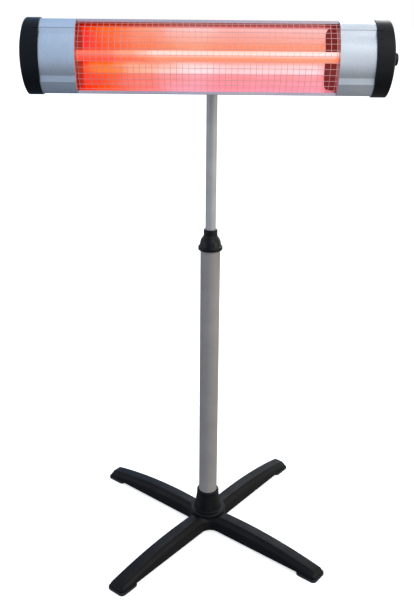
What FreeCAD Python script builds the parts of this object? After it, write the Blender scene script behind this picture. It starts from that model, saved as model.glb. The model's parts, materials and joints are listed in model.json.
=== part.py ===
import FreeCAD, Part
import math
import os

V = FreeCAD.Vector
X, Y, Z = V(1, 0, 0), V(0, 1, 0), V(0, 0, 1)
ORIGIN = V(0, 0, 0)

# Infrared bar heater on a telescopic stand. Millimetres, Z up, floor at Z = 0.
# Origin: on the floor under the pole axis. The heater faces -Y, its long head lies along X.

# ---------------------------------------------------------------- stand, driving sizes
LEG_REACH = 360.0            # pole axis to the nose of a leg
LEG_TURN_DEG = 51.5          # how far the first leg is turned from +X
LEG_HALF_WIDTH = 24.0
LEG_DRAFT = 1.0              # how much narrower a leg's side is at its shoulder
LEG_BAND_HALF = 13.0         # raised flat band along the top of a leg
LEG_BAND_STEP = 1.8
LEG_WALL = 3.0
LEG_NOSE_RADIUS = 11.0       # rounding of a leg's end seen from above
LEG_TOP_HUB = 46.0           # height of the band at the hub
LEG_TOP_TIP = 24.0           # height of the band where the nose starts
LEG_CROWN = 10.0             # how far the band's line bulges above a straight one
LEG_SIDE_HUB = 34.0          # height of the shoulder at the hub
LEG_SIDE_TIP = 16.0
LEG_SKIRT_HUB = 5.0          # height of the lower edge at the hub
LEG_NOSE_LENGTH = 9.0
CROTCH_RADIUS = 28.0
PAD_LENGTH = 56.0
PAD_HEIGHT = 7.0
PAD_LIP = 2.5                # how far a pad stands out past the leg
PAD_SPIGOT = 3.0
PAD_GAP = 0.2
FOOT_SCREW_R = 2.5
FOOT_SCREW_HEAD_R = 4.6
FOOT_SCREW_HEAD = 3.0
FOOT_SCREW_DEEP = 1.5        # how far a foot screw's head lies inside its well

FLANGE_RIM = 12.5            # how far the flange stands out past the socket
FLANGE_THICK = 8.0
SOCKET_BASE_WALL = 11.5
SOCKET_TOP_WALL = 4.8
SOCKET_TOP_Z = 111.0
SOCKET_FLOOR = 8.0
SOCKET_GAP = 0.15
HUB_SCREW_EDGE = 5.0         # screw axis to the flange's rim
HUB_SCREW_R = 2.5
HUB_SCREW_COUNT = 4
CENTRE_BOLT_R = 5.0
CENTRE_WASHER_R = 14.0
CENTRE_WASHER = 2.5

LOWER_TUBE_R = 24.0
LOWER_TUBE_WALL = 2.0
LOWER_TUBE_TOP = 800.0
TUBE_PLUG_LENGTH = 26.0
REST_WALL = 7.0

# ---------------------------------------------------------------- telescopic mast
MAST_R = 12.5
MAST_WALL = 1.5
RUN_GAP = 0.06               # radial clearance of a running fit
SLIP_GAP = 0.03              # radial clearance of a fit that does not move
FACE_GAP = 0.1               # between flat faces that turn past each other
TRAVEL_UP = 240.0
TRAVEL_DOWN = 260.0
SEAT_PLUG = 32.0             # length of the collar seat inside the lower tube
SEAT_NOSE = 20.0
SEAT_NOSE_WALL = 3.8
COLLET_WALL = 2.6
COLLET_SLOT = 1.6
COLLET_SLOTS = 4
COLLAR_BOTTOM = 793.5
COLLAR_TOP = 844.0
COLLAR_FLANGE_WALL = 5.2
COLLAR_BODY_RIM = 1.5        # how far the collar's body stands out past the lower tube
COLLAR_NECK_WALL = 3.9
COLLAR_GAP = 0.35
COLLAR_RIBS = 24
BUSH_LENGTH = 40.0
STOP_LENGTH = 6.0
STOP_RIM = 4.0
END_PLUG_LENGTH = 18.0
END_PLUG_FLANGE = 5.0

# ---------------------------------------------------------------- tilt joint
PIVOT_Z = 1225.0
FITTING_WALL = 4.0
FITTING_BOTTOM = 1168.0
FITTING_TOP = 1199.0
FITTING_CAP = 5.0            # solid end of the socket above the mast
EYE_HALF = 12.0
EYE_R = 13.0
PIVOT_BOLT_R = 4.0
FRICTION_WASHER = 1.0
FRICTION_WASHER_R = 11.5
PLAIN_WASHER = 1.4
PLAIN_WASHER_R = 9.0
BOLT_HEAD = 5.3
BOLT_HEAD_FLATS = 13.0
EAR_R = 14.0
EAR_ROOT_HALF = 22.0
BRACKET_SHEET = 2.5
BRACKET_HALF_X = 34.0
BRACKET_HALF_Z = 26.0
BRACKET_STANDOFF = 41.8      # from the back of the head to the pivot
TILT_KNOB_R = 18.0
TILT_KNOB_LENGTH = 20.0
TILT_KNOB_LOBES = 6
INSERT_R = 7.0
FACE_UP_DEG = 10.0           # the head stands tilted back by this much
HEAD_X = -10.6                # middle of the head, left of the pole
FITTING_SCREW_R = 2.5

# ---------------------------------------------------------------- head, in its own upright frame
# Local Y = 0 is the plane of the top and bottom front edges, the front is -Y, the middle is Z = 0.
HEAD_LENGTH = 778.0          # over both domed caps
HEAD_HALF = 75.5             # half the height at the front edges
SHOULDER_Z, SHOULDER_Y = 54.5, 30.0
STRIP_Z, STRIP_Y = 41.5, 33.0
FRONT_BULGE = 44.0
EDGE_BULGE = 3.4
REAR_DEPTH = 45.0
REAR_FLAT_HALF = 42.0
REAR_MID_DROP, REAR_MID_SHARE = 9.0, 0.644   # the rear curve passes here, below its edge and along its depth
SHELL_WALL = 2.0
PANEL_WALL = 2.4
PANEL_STEP = 1.2
PANEL_RETURN = 7.0
LIP = 4.0
CAP_LENGTH = 41.7
PANEL_LENGTH = 74.3
CAP_PROUD = 2.5
CAP_WALL = 2.5
CAP_DOME_R = 300.0
CAP_EDGE_R = 4.0
CAP_CORNER_R = 9.0
CAP_RIB_PITCH = 17.5
CAP_RIB_LENGTH = 13.0
CAP_SCREW_Z = 50.0
CAP_SCREW_R = 2.0
CAP_SCREW_HEAD_R = 4.0
CAP_BOSS_R = 6.0
PLATE = 1.5                  # sheet steel plates inside the head
PLATE_GAP = 0.3

REFLECTOR_SHEET = 0.8
REFLECTOR_EDGE = 5.0         # head's edge to the reflector's edge
REFLECTOR_DEPTH = 31.0
END_FLARE_RIGHT = 21.0       # how far the back edge of an end plate leans inwards
END_FLARE_LEFT = 4.0
REFLECTOR_LEAN = 6.5         # how far a flank leans inwards before its corner
REFLECTOR_CORNER = 11.0
TUBE_R = 11.5
TUBE_WALL = 1.5
TUBE_Y, TUBE_Z = 2.0, 2.0
COIL_GAP = 3.5
HOLDER_GAP = 0.3
HOLDER_LENGTH = 24.0
HOLDER_WALL = 5.5
HOLDER_DEPTH = 16.0          # how deep the tube sits in its holder

MESH_PITCH = 12.7
WIRE_R = 0.5
WELD_GAP = 0.02
GRILLE_SETBACK = 1.5
RAIL_EDGE, RAIL_WIDTH = 0.9, 5.3
RAIL_FRONT, RAIL_BACK = 3.8, 1.05

KNOB_PROJECTION = 10.0
KNOB_R = 15.0
KNOB_GAP = 0.5
SWITCH_SHAFT_R = 3.0
SWITCH_HALF = 13.0
SWITCH_DEPTH = 22.0
GLAND_IN = 36.0              # gland axis to the chamber wall
GLAND_Z = -14.0
GLAND_THREAD_R = 8.0
GLAND_HEX_FLATS = 22.0
CABLE_R = 4.2
LEAD_R = 1.3
LEAD_BEND = 7.0
LEAD_DEPTH = 7.5             # back of the head to the lead behind the reflector
SLOT_PITCH = 27.0
SLOT_ROWS = (-26.0, -19.0, 19.0, 26.0)

# ---------------------------------------------------------------- sizes that follow
SOCKET_BASE_Z = LEG_TOP_HUB
SOCKET_BASE_R = LOWER_TUBE_R + SOCKET_BASE_WALL
SOCKET_TOP_R = LOWER_TUBE_R + SOCKET_TOP_WALL
FLANGE_R = SOCKET_BASE_R + FLANGE_RIM
HUB_SCREW_CIRCLE_R = FLANGE_R - HUB_SCREW_EDGE
COLLET_R = MAST_R + RUN_GAP + COLLET_WALL
SEAT_NOSE_R = COLLET_R + SEAT_NOSE_WALL
COLLAR_FLANGE_R = LOWER_TUBE_R + COLLAR_GAP + COLLAR_FLANGE_WALL
COLLAR_BODY_R = LOWER_TUBE_R + COLLAR_BODY_RIM
COLLAR_NECK_R = MAST_R + COLLAR_GAP + COLLAR_NECK_WALL
STOP_R = MAST_R + STOP_RIM
FITTING_R = MAST_R + FITTING_WALL
TUBE_SEAT_Z = SOCKET_BASE_Z + SOCKET_FLOOR
LOWER_BORE_R = LOWER_TUBE_R - LOWER_TUBE_WALL
SEAT_BOTTOM = LOWER_TUBE_TOP - SEAT_PLUG
STOP_TOP = SEAT_BOTTOM - TRAVEL_UP - 0.5
BUSH_TOP = STOP_TOP - STOP_LENGTH - FACE_GAP
BUSH_BOTTOM = BUSH_TOP - BUSH_LENGTH
MAST_BOTTOM = BUSH_BOTTOM - FACE_GAP
MAST_TOP = FITTING_TOP - FITTING_CAP
MAST_BORE_R = MAST_R - MAST_WALL
PIVOT_SETBACK = REAR_DEPTH + BRACKET_STANDOFF
PIVOT_DROP = 3.0             # pivot below the middle of the head
BRACKET_X = -HEAD_X            # the bracket stays in line with the pole
EAR_INNER = EYE_HALF + FRICTION_WASHER + FACE_GAP
EAR_OUTER = EAR_INNER + BRACKET_SHEET
WASHER_OUTER = EAR_OUTER + FACE_GAP + PLAIN_WASHER
CAP_CREST = HEAD_LENGTH / 2
CAP_START = CAP_CREST - CAP_LENGTH
OPENING_HALF = CAP_START - PANEL_LENGTH
REAR_MID_Z, REAR_MID_Y = HEAD_HALF - REAR_MID_DROP, REAR_DEPTH * REAR_MID_SHARE
REFLECTOR_HALF_Z = HEAD_HALF - REFLECTOR_EDGE
RAIL_OUTER = HEAD_HALF - RAIL_EDGE
RAIL_INNER = RAIL_OUTER - RAIL_WIDTH
LEAD_Y = REAR_DEPTH - LEAD_DEPTH
COIL_R = TUBE_R - TUBE_WALL - COIL_GAP
HOLDER_HALF = TUBE_R + HOLDER_WALL
ARC_R = (STRIP_Z ** 2 + (FRONT_BULGE - STRIP_Y) ** 2) / (2 * (FRONT_BULGE - STRIP_Y))
ARC_Y = ARC_R - FRONT_BULGE
GRILLE_R = ARC_R - GRILLE_SETBACK
GRILLE_REACH = math.asin((RAIL_INNER - WIRE_R) / (GRILLE_R - 2 * WIRE_R - WELD_GAP))
CROSS_WIRES = 2 * int(GRILLE_REACH * GRILLE_R / MESH_PITCH) + 1
UPRIGHT_WIRES = 2 * int((OPENING_HALF - 2 * WIRE_R) / MESH_PITCH) + 1
WALL_IN = OPENING_HALF + PLATE + 0.1
GLAND_X = WALL_IN + GLAND_IN
HOLDER_IN = WALL_IN + PLATE + HOLDER_GAP
HOLDER_OUT = HOLDER_IN + HOLDER_LENGTH
TUBE_END = HOLDER_IN + HOLDER_DEPTH
BULKHEAD_IN = CAP_START - PLATE
KNOB_SEAT = CAP_CREST - CAP_DOME_R + math.sqrt(CAP_DOME_R ** 2 - (KNOB_R + 1.5) ** 2)


# ---------------------------------------------------------------- helpers
def edges(start, steps, place):
    """Edges from a start point: a pair goes straight, a pair of pairs is an arc (through, to)."""
    made, here = [], start
    for step in steps:
        if isinstance(step[0], tuple):
            through, end = step
            made.append(Part.Arc(place(here), place(through), place(end)).toShape())
        else:
            end = step
            made.append(Part.LineSegment(place(here), place(end)).toShape())
        here = end
    return made


def yz(point):
    return V(0, point[0], point[1])


def xy(point):
    return V(point[0], point[1], 0)


def rz(point):
    return V(point[0], 0, point[1])


def outline(start, steps, place):
    return Part.Face(Part.Wire(edges(start, steps, place)))


def turned(start, *steps):
    """Solid of revolution about Z from an outline of (radius, height) points."""
    return outline(start, list(steps) + [start], rz).revolve(ORIGIN, Z, 360)


def along_x(shape, x=0.0):
    """Turns a shape made along Z so that it lies along X."""
    laid = shape.copy()
    laid.rotate(ORIGIN, Y, 90)
    laid.translate(V(x, 0, 0))
    return laid


def rod(radius, low, high, y=0.0, z=0.0):
    """Cylinder along X."""
    return Part.makeCylinder(radius, high - low, V(low, y, z), X)


def pipe(outer, inner, low, high, at=ORIGIN):
    """Hollow cylinder along Z."""
    base = at + V(0, 0, low)
    return Part.makeCylinder(outer, high - low, base).cut(Part.makeCylinder(inner, high - low, base))


def block(low, high):
    size = V(*high) - V(*low)
    return Part.makeBox(size.x, size.y, size.z, V(*low))


def hexagon(flats, height, at=ORIGIN):
    corner = flats / math.sqrt(3)
    points = [at + V(corner * math.cos(math.radians(60 * i)), corner * math.sin(math.radians(60 * i)), 0)
              for i in range(7)]
    return Part.Face(Part.makePolygon(points)).extrude(V(0, 0, height))


def screw(shank_r, head_r, head, length):
    """Round-headed screw along -Z with its head's seat at Z = 0 and a hexagon recess."""
    body = turned((0, -length), (shank_r, -length), (shank_r, 0), (head_r, 0),
                  (head_r, head * 0.55), ((head_r * 0.8, head * 0.9), (head_r * 0.45, head)), (0, head))
    return body.cut(hexagon(head_r * 0.8, head, V(0, 0, head * 0.45)))


def rounded_bar(half_x, half_y, radius, low, high):
    """Rectangular bar along Z with rounded corners."""
    cut = radius * (1 - math.sqrt(0.5))
    a, b, r = half_x, half_y, radius
    face = outline((a, -b + r), [
        (a, b - r), ((a - cut, b - cut), (a - r, b)), (-a + r, b), ((-a + cut, b - cut), (-a, b - r)),
        (-a, -b + r), ((-a + cut, -b + cut), (-a + r, -b)), (a - r, -b), ((a - cut, -b + cut), (a, -b + r)),
    ], xy)
    solid = face.extrude(V(0, 0, high - low))
    solid.translate(V(0, 0, low))
    return solid


def turn_z(shape, degrees):
    turned_shape = shape.copy()
    turned_shape.rotate(ORIGIN, Z, degrees)
    return turned_shape


def moved(shape, x=0.0, y=0.0, z=0.0):
    shifted = shape.copy()
    shifted.translate(V(x, y, z))
    return shifted


def mirrored_x(shape):
    return shape.mirror(ORIGIN, X)


def fuse(shapes):
    """One solid from several that touch or overlap."""
    return shapes[0].multiFuse(shapes[1:]).removeSplitter()


def group(shapes):
    """Several separate solids in one node."""
    return Part.makeCompound(shapes)


def save(name, shape):
    shape.exportStep("parts/" + name + ".step")


# ---------------------------------------------------------------- base
def pad_start():
    """Where a leg's lower edge becomes level, just inside its pad."""
    return LEG_REACH - PAD_LENGTH - 1.0


def leg_heights(reach):
    """Skirt, shoulder and band heights of a leg at a distance from the pole axis."""
    tip = LEG_REACH - LEG_NOSE_LENGTH
    share = max(0.0, (abs(reach) - FLANGE_R) / (tip - FLANGE_R))
    if share > 1.0:
        return PAD_HEIGHT, PAD_HEIGHT + 2.5, PAD_HEIGHT + 5.0
    bulge = 4 * LEG_CROWN * share * (1 - share)
    rise = min(1.0, max(0.0, (abs(reach) - FLANGE_R) / (pad_start() - FLANGE_R)))
    skirt = LEG_SKIRT_HUB + (PAD_HEIGHT - LEG_SKIRT_HUB) * rise
    shoulder = LEG_SIDE_HUB + (LEG_SIDE_TIP - LEG_SIDE_HUB) * share + bulge
    band = LEG_TOP_HUB + (LEG_TOP_TIP - LEG_TOP_HUB) * share + bulge
    return skirt, shoulder, band


def leg_section(reach, inset):
    """Closed section across a leg, shrunk by a wall; an inner section runs out below the skirt."""
    skirt, shoulder, band = leg_heights(reach)
    low = skirt - (inset + 20.0 if inset else 0.0)
    side, top = LEG_HALF_WIDTH - inset, LEG_BAND_HALF - inset * 0.6
    shoulder, band, draft = shoulder - inset, band - inset, LEG_DRAFT
    points = [(-side, low), (-side + draft, shoulder - 3.0), (-side + draft + 2.0, shoulder),
              (-top - 1.0, band - LEG_BAND_STEP), (-top, band), (top, band),
              (top + 1.0, band - LEG_BAND_STEP), (side - draft - 2.0, shoulder),
              (side - draft, shoulder - 3.0), (side, low), (-side, low)]
    return Part.makePolygon([V(reach, across, height) for across, height in points])


def leg_bar(inset):
    """A pair of opposite legs as one bar along X."""
    end = LEG_REACH - inset
    reaches = [-end, -end + LEG_NOSE_LENGTH]
    inner = [LEG_REACH * 0.92, pad_start()]
    inner += [LEG_REACH * share for share in (0.72, 0.58, 0.43, 0.28, FLANGE_R / LEG_REACH)]
    stations = reaches + [-r for r in inner] + inner[::-1] + [-r for r in reaches[::-1]]
    return Part.makeLoft([leg_section(r, inset) for r in stations], True, True)


def base_cross():
    plan = rounded_bar(LEG_REACH, LEG_HALF_WIDTH, LEG_NOSE_RADIUS, 0, LEG_TOP_HUB + 10)
    bar = leg_bar(0.0).common(plan)
    low = LEG_SKIRT_HUB
    reach = LEG_HALF_WIDTH + CROTCH_RADIUS
    web = block((0, 0, low), (reach, reach, LEG_SIDE_HUB - 3.0))
    web = web.cut(Part.makeCylinder(CROTCH_RADIUS, 100, V(reach, reach, 0)))
    hub_r = FLANGE_R - 7
    hub = turned((0, low), (hub_r, low), (hub_r, LEG_SIDE_HUB), (hub_r + 5, LEG_TOP_HUB), (0, LEG_TOP_HUB))
    outer = fuse([bar, turn_z(bar, 90), hub] + [turn_z(web, 90 * i) for i in range(4)])
    hollow = leg_bar(LEG_WALL)
    cross = outer.cut(hollow).cut(turn_z(hollow, 90))
    boss = Part.makeCylinder(CENTRE_WASHER_R + 1, LEG_WALL + 3, V(0, 0, LEG_TOP_HUB - LEG_WALL - 3))
    post_low = PAD_HEIGHT + PAD_SPIGOT
    posts = [Part.makeCylinder(6.5, LEG_TOP_TIP - post_low, foot_place(i, post_low)) for i in range(4)]
    cross = fuse([cross, boss] + [post.common(outer) for post in posts])
    holes = [Part.makeCylinder(CENTRE_BOLT_R + SLIP_GAP, 100)]
    holes += [Part.makeCylinder(HUB_SCREW_R + SLIP_GAP, 100, hub_screw_place(i, 0))
              for i in range(HUB_SCREW_COUNT)]
    holes += [Part.makeCylinder(FOOT_SCREW_R + SLIP_GAP, foot_screw_top() + 0.5, foot_place(i, 0))
              for i in range(4)]
    for hole in holes:
        cross = cross.cut(hole)
    return turn_z(cross, LEG_TURN_DEG)


def foot_place(index, height):
    angle = math.radians(90 * index)
    reach = LEG_REACH - PAD_LENGTH / 2
    return V(reach * math.cos(angle), reach * math.sin(angle), height)


def foot_screw_top():
    return PAD_HEIGHT + PAD_SPIGOT + 5.0


def hub_screw_place(index, height):
    angle = math.radians(360 / HUB_SCREW_COUNT * index)
    return V(HUB_SCREW_CIRCLE_R * math.cos(angle), HUB_SCREW_CIRCLE_R * math.sin(angle), height)


def foot_pad(index):
    half_x, half_y = PAD_LENGTH / 2 + PAD_LIP / 2, LEG_HALF_WIDTH + PAD_LIP
    pad = rounded_bar(half_x, half_y, LEG_NOSE_RADIUS, 0, PAD_HEIGHT)
    rim = [edge for edge in pad.Edges if abs(edge.BoundBox.ZMax) < 1e-6]
    pad = pad.makeChamfer(1.2, rim)
    inner = LEG_HALF_WIDTH - LEG_WALL - LEG_DRAFT - PAD_GAP
    length = (PAD_LENGTH - LEG_NOSE_LENGTH - PAD_LIP) / 2 - PAD_GAP
    spigot = rounded_bar(length, inner, LEG_NOSE_RADIUS - 3, PAD_HEIGHT, PAD_HEIGHT + PAD_SPIGOT)
    middle = V(-PAD_LIP / 2, 0, 0)
    well = Part.makeCylinder(FOOT_SCREW_HEAD_R + 0.4, FOOT_SCREW_HEAD + FOOT_SCREW_DEEP, middle)
    bore = Part.makeCylinder(FOOT_SCREW_R + SLIP_GAP, 30, middle)
    pad = fuse([pad, moved(spigot, -LEG_NOSE_LENGTH / 2)]).cut(well).cut(bore)
    return turn_z(moved(pad, LEG_REACH - PAD_LENGTH / 2 + PAD_LIP / 2), LEG_TURN_DEG + 90 * index)


def foot_screws():
    length = foot_screw_top() - FOOT_SCREW_HEAD - FOOT_SCREW_DEEP
    one = screw(FOOT_SCREW_R, FOOT_SCREW_HEAD_R, FOOT_SCREW_HEAD, length)
    one.rotate(ORIGIN, X, 180)
    one.translate(foot_place(0, FOOT_SCREW_HEAD + FOOT_SCREW_DEEP))
    return group([turn_z(one, LEG_TURN_DEG + 90 * i) for i in range(4)])


def hub_socket():
    base, bore = SOCKET_BASE_Z, LOWER_TUBE_R + SOCKET_GAP
    flange = base + FLANGE_THICK
    top = SOCKET_TOP_Z
    body = turned((0, base), (FLANGE_R - 1.5, base), (FLANGE_R, base + 1.5), (FLANGE_R, flange - 4),
                  ((FLANGE_R - 1.2, flange - 1.2), (FLANGE_R - 4, flange)), (SOCKET_BASE_R + 3, flange),
                  ((SOCKET_BASE_R + 0.9, flange + 0.9), (SOCKET_BASE_R, flange + 3)),
                  (SOCKET_TOP_R, top - 9), (SOCKET_TOP_R + 0.7, top - 7.5), (SOCKET_TOP_R + 0.7, top - 3),
                  ((SOCKET_TOP_R - 0.2, top - 0.9), (SOCKET_TOP_R - 2.3, top)), (0, top))
    body = body.cut(Part.makeCylinder(bore, 200, V(0, 0, TUBE_SEAT_Z)))
    body = body.cut(Part.makeCylinder(CENTRE_BOLT_R + SLIP_GAP, 200))
    for i in range(HUB_SCREW_COUNT):
        body = body.cut(Part.makeCylinder(HUB_SCREW_R + SLIP_GAP, FLANGE_THICK - 1, hub_screw_place(i, base)))
    return turn_z(body, LEG_TURN_DEG)


def hub_screws():
    seat = LEG_TOP_HUB - LEG_WALL
    one = screw(HUB_SCREW_R, 3.9, 2.6, LEG_WALL + FLANGE_THICK - 1.5)
    one.rotate(ORIGIN, X, 180)
    one.translate(hub_screw_place(0, seat))
    return group([turn_z(one, LEG_TURN_DEG + 360 / HUB_SCREW_COUNT * i) for i in range(HUB_SCREW_COUNT)])


def centre_washer():
    seat = LEG_TOP_HUB - LEG_WALL - 3
    return pipe(CENTRE_WASHER_R, CENTRE_BOLT_R + 0.3, seat - CENTRE_WASHER, seat)


def centre_bolt():
    seat = LEG_TOP_HUB - LEG_WALL - 3 - CENTRE_WASHER
    head = hexagon(17, 6.4, V(0, 0, seat - 6.4))
    length = TUBE_SEAT_Z + TUBE_PLUG_LENGTH - 4 - seat
    return fuse([head, Part.makeCylinder(CENTRE_BOLT_R, length, V(0, 0, seat))])


def lower_tube():
    return pipe(LOWER_TUBE_R, LOWER_BORE_R, TUBE_SEAT_Z, LOWER_TUBE_TOP)


def tube_plug():
    top = TUBE_SEAT_Z + TUBE_PLUG_LENGTH
    return pipe(LOWER_BORE_R - SLIP_GAP, CENTRE_BOLT_R + SLIP_GAP, TUBE_SEAT_Z, top)


def mast_rest():
    """Spacer tube inside the lower tube that the foot of the mast lands on."""
    top = MAST_BOTTOM - END_PLUG_FLANGE - TRAVEL_DOWN - 0.5
    return pipe(LOWER_BORE_R - 0.5, LOWER_BORE_R - 0.5 - REST_WALL, TUBE_SEAT_Z + TUBE_PLUG_LENGTH, top)


# ---------------------------------------------------------------- telescopic clamp
def collar_seat():
    """Plug in the top of the lower tube with a nose that the collar screws onto."""
    low, top = SEAT_BOTTOM, LOWER_TUBE_TOP
    nose = top + SEAT_NOSE
    plug_r, bore = LOWER_BORE_R - SLIP_GAP, COLLET_R + SLIP_GAP
    return turned((MAST_R + 1.0, low), (plug_r, low), (plug_r, top), (SEAT_NOSE_R, top),
                  (SEAT_NOSE_R, nose - 1), (SEAT_NOSE_R - 1, nose), (bore, nose), (bore, low + 6),
                  (MAST_R + 1.0, low + 6))


def collet():
    """Split sleeve that grips the mast when the collar is tightened."""
    low, high = SEAT_BOTTOM + 6, LOWER_TUBE_TOP + SEAT_NOSE + 2.0
    sleeve = pipe(COLLET_R, MAST_R + RUN_GAP, low, high)
    for i in range(COLLET_SLOTS):
        slot = block((0, -COLLET_SLOT / 2, low + 14), (30, COLLET_SLOT / 2, high))
        sleeve = sleeve.cut(turn_z(slot, 360 / COLLET_SLOTS * i))
    return sleeve


def locking_collar():
    low, top = COLLAR_BOTTOM, COLLAR_TOP
    skirt = low + 10
    tube_r, nose_r, mast_r = LOWER_TUBE_R + COLLAR_GAP, SEAT_NOSE_R + COLLAR_GAP, MAST_R + COLLAR_GAP
    flange, body, neck = COLLAR_FLANGE_R, COLLAR_BODY_R, COLLAR_NECK_R
    shelf, chamber = LOWER_TUBE_TOP + 0.4, LOWER_TUBE_TOP + SEAT_NOSE + 2.6
    shape = turned((tube_r, low), (flange - 2, low), ((flange - 0.6, low + 0.6), (flange, low + 2)),
                   (flange, skirt - 3), ((flange - 1, skirt - 0.9), (flange - 3, skirt)),
                   (body + 0.6, skirt + 1), (body - 0.6, skirt + 9),
                   ((body - 2.4, skirt + 15), (neck + 1.6, skirt + 22)), (neck, skirt + 26),
                   (neck, top - 1.5),
                   ((neck - 0.4, top - 0.4), (neck - 1.5, top)), (mast_r, top), (mast_r, chamber),
                   (nose_r, chamber), (nose_r, shelf), (tube_r, shelf))
    for i in range(COLLAR_RIBS):
        groove = Part.makeCylinder(0.9, 6.5, V(flange + 0.35, 0, low + 1.5))
        shape = shape.cut(turn_z(groove, 360 / COLLAR_RIBS * i))
    return shape


# ---------------------------------------------------------------- mast
def slide_bush():
    """Plastic bush that carries the foot of the mast in the lower tube."""
    bush = pipe(LOWER_BORE_R - RUN_GAP, MAST_R + RUN_GAP, BUSH_BOTTOM, BUSH_TOP)
    groove = pipe(LOWER_BORE_R, LOWER_BORE_R - 1.2, BUSH_BOTTOM + 14, BUSH_TOP - 14)
    return bush.cut(groove)


def upper_tube():
    tube = pipe(MAST_R, MAST_BORE_R, MAST_BOTTOM, MAST_TOP)
    return tube.cut(fitting_screw_hole())


def mast_stop_ring():
    return pipe(STOP_R, MAST_R + SLIP_GAP, STOP_TOP - STOP_LENGTH, STOP_TOP)


def mast_end_plug():
    flange = Part.makeCylinder(STOP_R, END_PLUG_FLANGE, V(0, 0, MAST_BOTTOM - END_PLUG_FLANGE))
    spigot = Part.makeCylinder(MAST_BORE_R - SLIP_GAP, END_PLUG_LENGTH, V(0, 0, MAST_BOTTOM))
    return fuse([flange, spigot]).cut(Part.makeCylinder(4, 100, V(0, 0, MAST_BOTTOM - END_PLUG_FLANGE)))


def fitting_screw_hole():
    return Part.makeCylinder(FITTING_SCREW_R + SLIP_GAP, 30, V(0, 0, fitting_screw_z()), Y)


def fitting_screw_z():
    return FITTING_BOTTOM + 14.0


def mast_head_fitting():
    """Cap on the mast with the eye that the head's bracket turns on."""
    low, top, radius = FITTING_BOTTOM, FITTING_TOP, FITTING_R
    socket = turned((0, low), (radius - 1, low), (radius, low + 1), (radius, top - 3),
                    ((radius - 0.9, top - 0.9), (radius - 3, top)), (0, top))
    stem = block((-EYE_HALF, -EYE_R, FITTING_TOP - 2), (EYE_HALF, EYE_R, PIVOT_Z))
    stem = stem.common(Part.makeCylinder(FITTING_R + 0.2, 100, V(0, 0, FITTING_TOP - 2)))
    eye = rod(EYE_R, -EYE_HALF, EYE_HALF, 0, PIVOT_Z)
    body = fuse([socket, stem, eye])
    body = body.cut(Part.makeCylinder(MAST_R + SLIP_GAP, MAST_TOP - FITTING_BOTTOM, V(0, 0, FITTING_BOTTOM)))
    return body.cut(rod(PIVOT_BOLT_R + SLIP_GAP, -50, 50, 0, PIVOT_Z)).cut(fitting_screw_hole())


def fitting_screw():
    one = screw(FITTING_SCREW_R, 4.5, 3.0, FITTING_R - MAST_BORE_R + 2)
    one.rotate(ORIGIN, X, -90)
    one.translate(V(0, FITTING_R, fitting_screw_z()))
    return one


def friction_washers():
    right = rod(FRICTION_WASHER_R, EYE_HALF, EYE_HALF + FRICTION_WASHER, 0, PIVOT_Z)
    right = right.cut(rod(PIVOT_BOLT_R + SLIP_GAP, 0, 50, 0, PIVOT_Z))
    return group([right, mirrored_x(right)])


def pivot_washers():
    right = rod(PLAIN_WASHER_R, EAR_OUTER + FACE_GAP, WASHER_OUTER, 0, PIVOT_Z)
    right = right.cut(rod(PIVOT_BOLT_R + SLIP_GAP, 0, 50, 0, PIVOT_Z))
    return group([right, mirrored_x(right)])


def pivot_bolt():
    head = moved(along_x(hexagon(BOLT_HEAD_FLATS, BOLT_HEAD)), -WASHER_OUTER - BOLT_HEAD, 0, PIVOT_Z)
    shank = rod(PIVOT_BOLT_R, -WASHER_OUTER, WASHER_OUTER + TILT_KNOB_LENGTH * 0.7, 0, PIVOT_Z)
    return fuse([head, shank])


def tilt_knob():
    low, length, radius = WASHER_OUTER + FACE_GAP, TILT_KNOB_LENGTH, TILT_KNOB_R
    body = turned((0, 0), (9.5, 0), (9.5, 4), (radius - 2.5, 6), (radius, 8), (radius, length - 4),
                  ((radius - 1.2, length - 1.2), (radius - 4, length)), (0, length - 1))
    for i in range(TILT_KNOB_LOBES):
        flute = Part.makeCylinder(5.2, length, V(radius + 2.4, 0, 4.5))
        body = body.cut(turn_z(flute, 360 / TILT_KNOB_LOBES * i))
    body = body.cut(Part.makeCylinder(INSERT_R + SLIP_GAP, length * 0.8))
    return moved(along_x(body), low, 0, PIVOT_Z)


def tilt_knob_insert():
    low = WASHER_OUTER + FACE_GAP
    body = pipe(INSERT_R, PIVOT_BOLT_R + RUN_GAP, 0, TILT_KNOB_LENGTH * 0.8 - 0.2)
    return moved(along_x(body), low, 0, PIVOT_Z)


# ---------------------------------------------------------------- head sections
def front_steps():
    """The front outline from the top edge to the bottom edge, as steps."""
    lean = math.atan2(HEAD_HALF - SHOULDER_Z, SHOULDER_Y)
    mid_y = -SHOULDER_Y / 2 - EDGE_BULGE * math.sin(lean)
    mid_z = (HEAD_HALF + SHOULDER_Z) / 2 + EDGE_BULGE * math.cos(lean)
    return [((mid_y, mid_z), (-SHOULDER_Y, SHOULDER_Z)), (-STRIP_Y, STRIP_Z),
            ((-FRONT_BULGE, 0), (-STRIP_Y, -STRIP_Z)), (-SHOULDER_Y, -SHOULDER_Z),
            ((mid_y, -mid_z), (0, -HEAD_HALF))]


def rear_steps():
    """The rear outline from the bottom edge round to the top edge, as steps."""
    return [(3, -HEAD_HALF), ((REAR_MID_Y, -REAR_MID_Z), (REAR_DEPTH, -REAR_FLAT_HALF)),
            (REAR_DEPTH, REAR_FLAT_HALF), ((REAR_MID_Y, REAR_MID_Z), (3, HEAD_HALF)), (0, HEAD_HALF)]


def grown(face, amount):
    return face.makeOffset2D(amount, 2) if amount else face


def prism(face, low, high):
    """A section in the YZ plane drawn out along X."""
    return moved(face.extrude(V(high - low, 0, 0)), low)


def whole_section(amount=0.0):
    return grown(outline((0, HEAD_HALF), front_steps() + rear_steps(), yz), amount)


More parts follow.
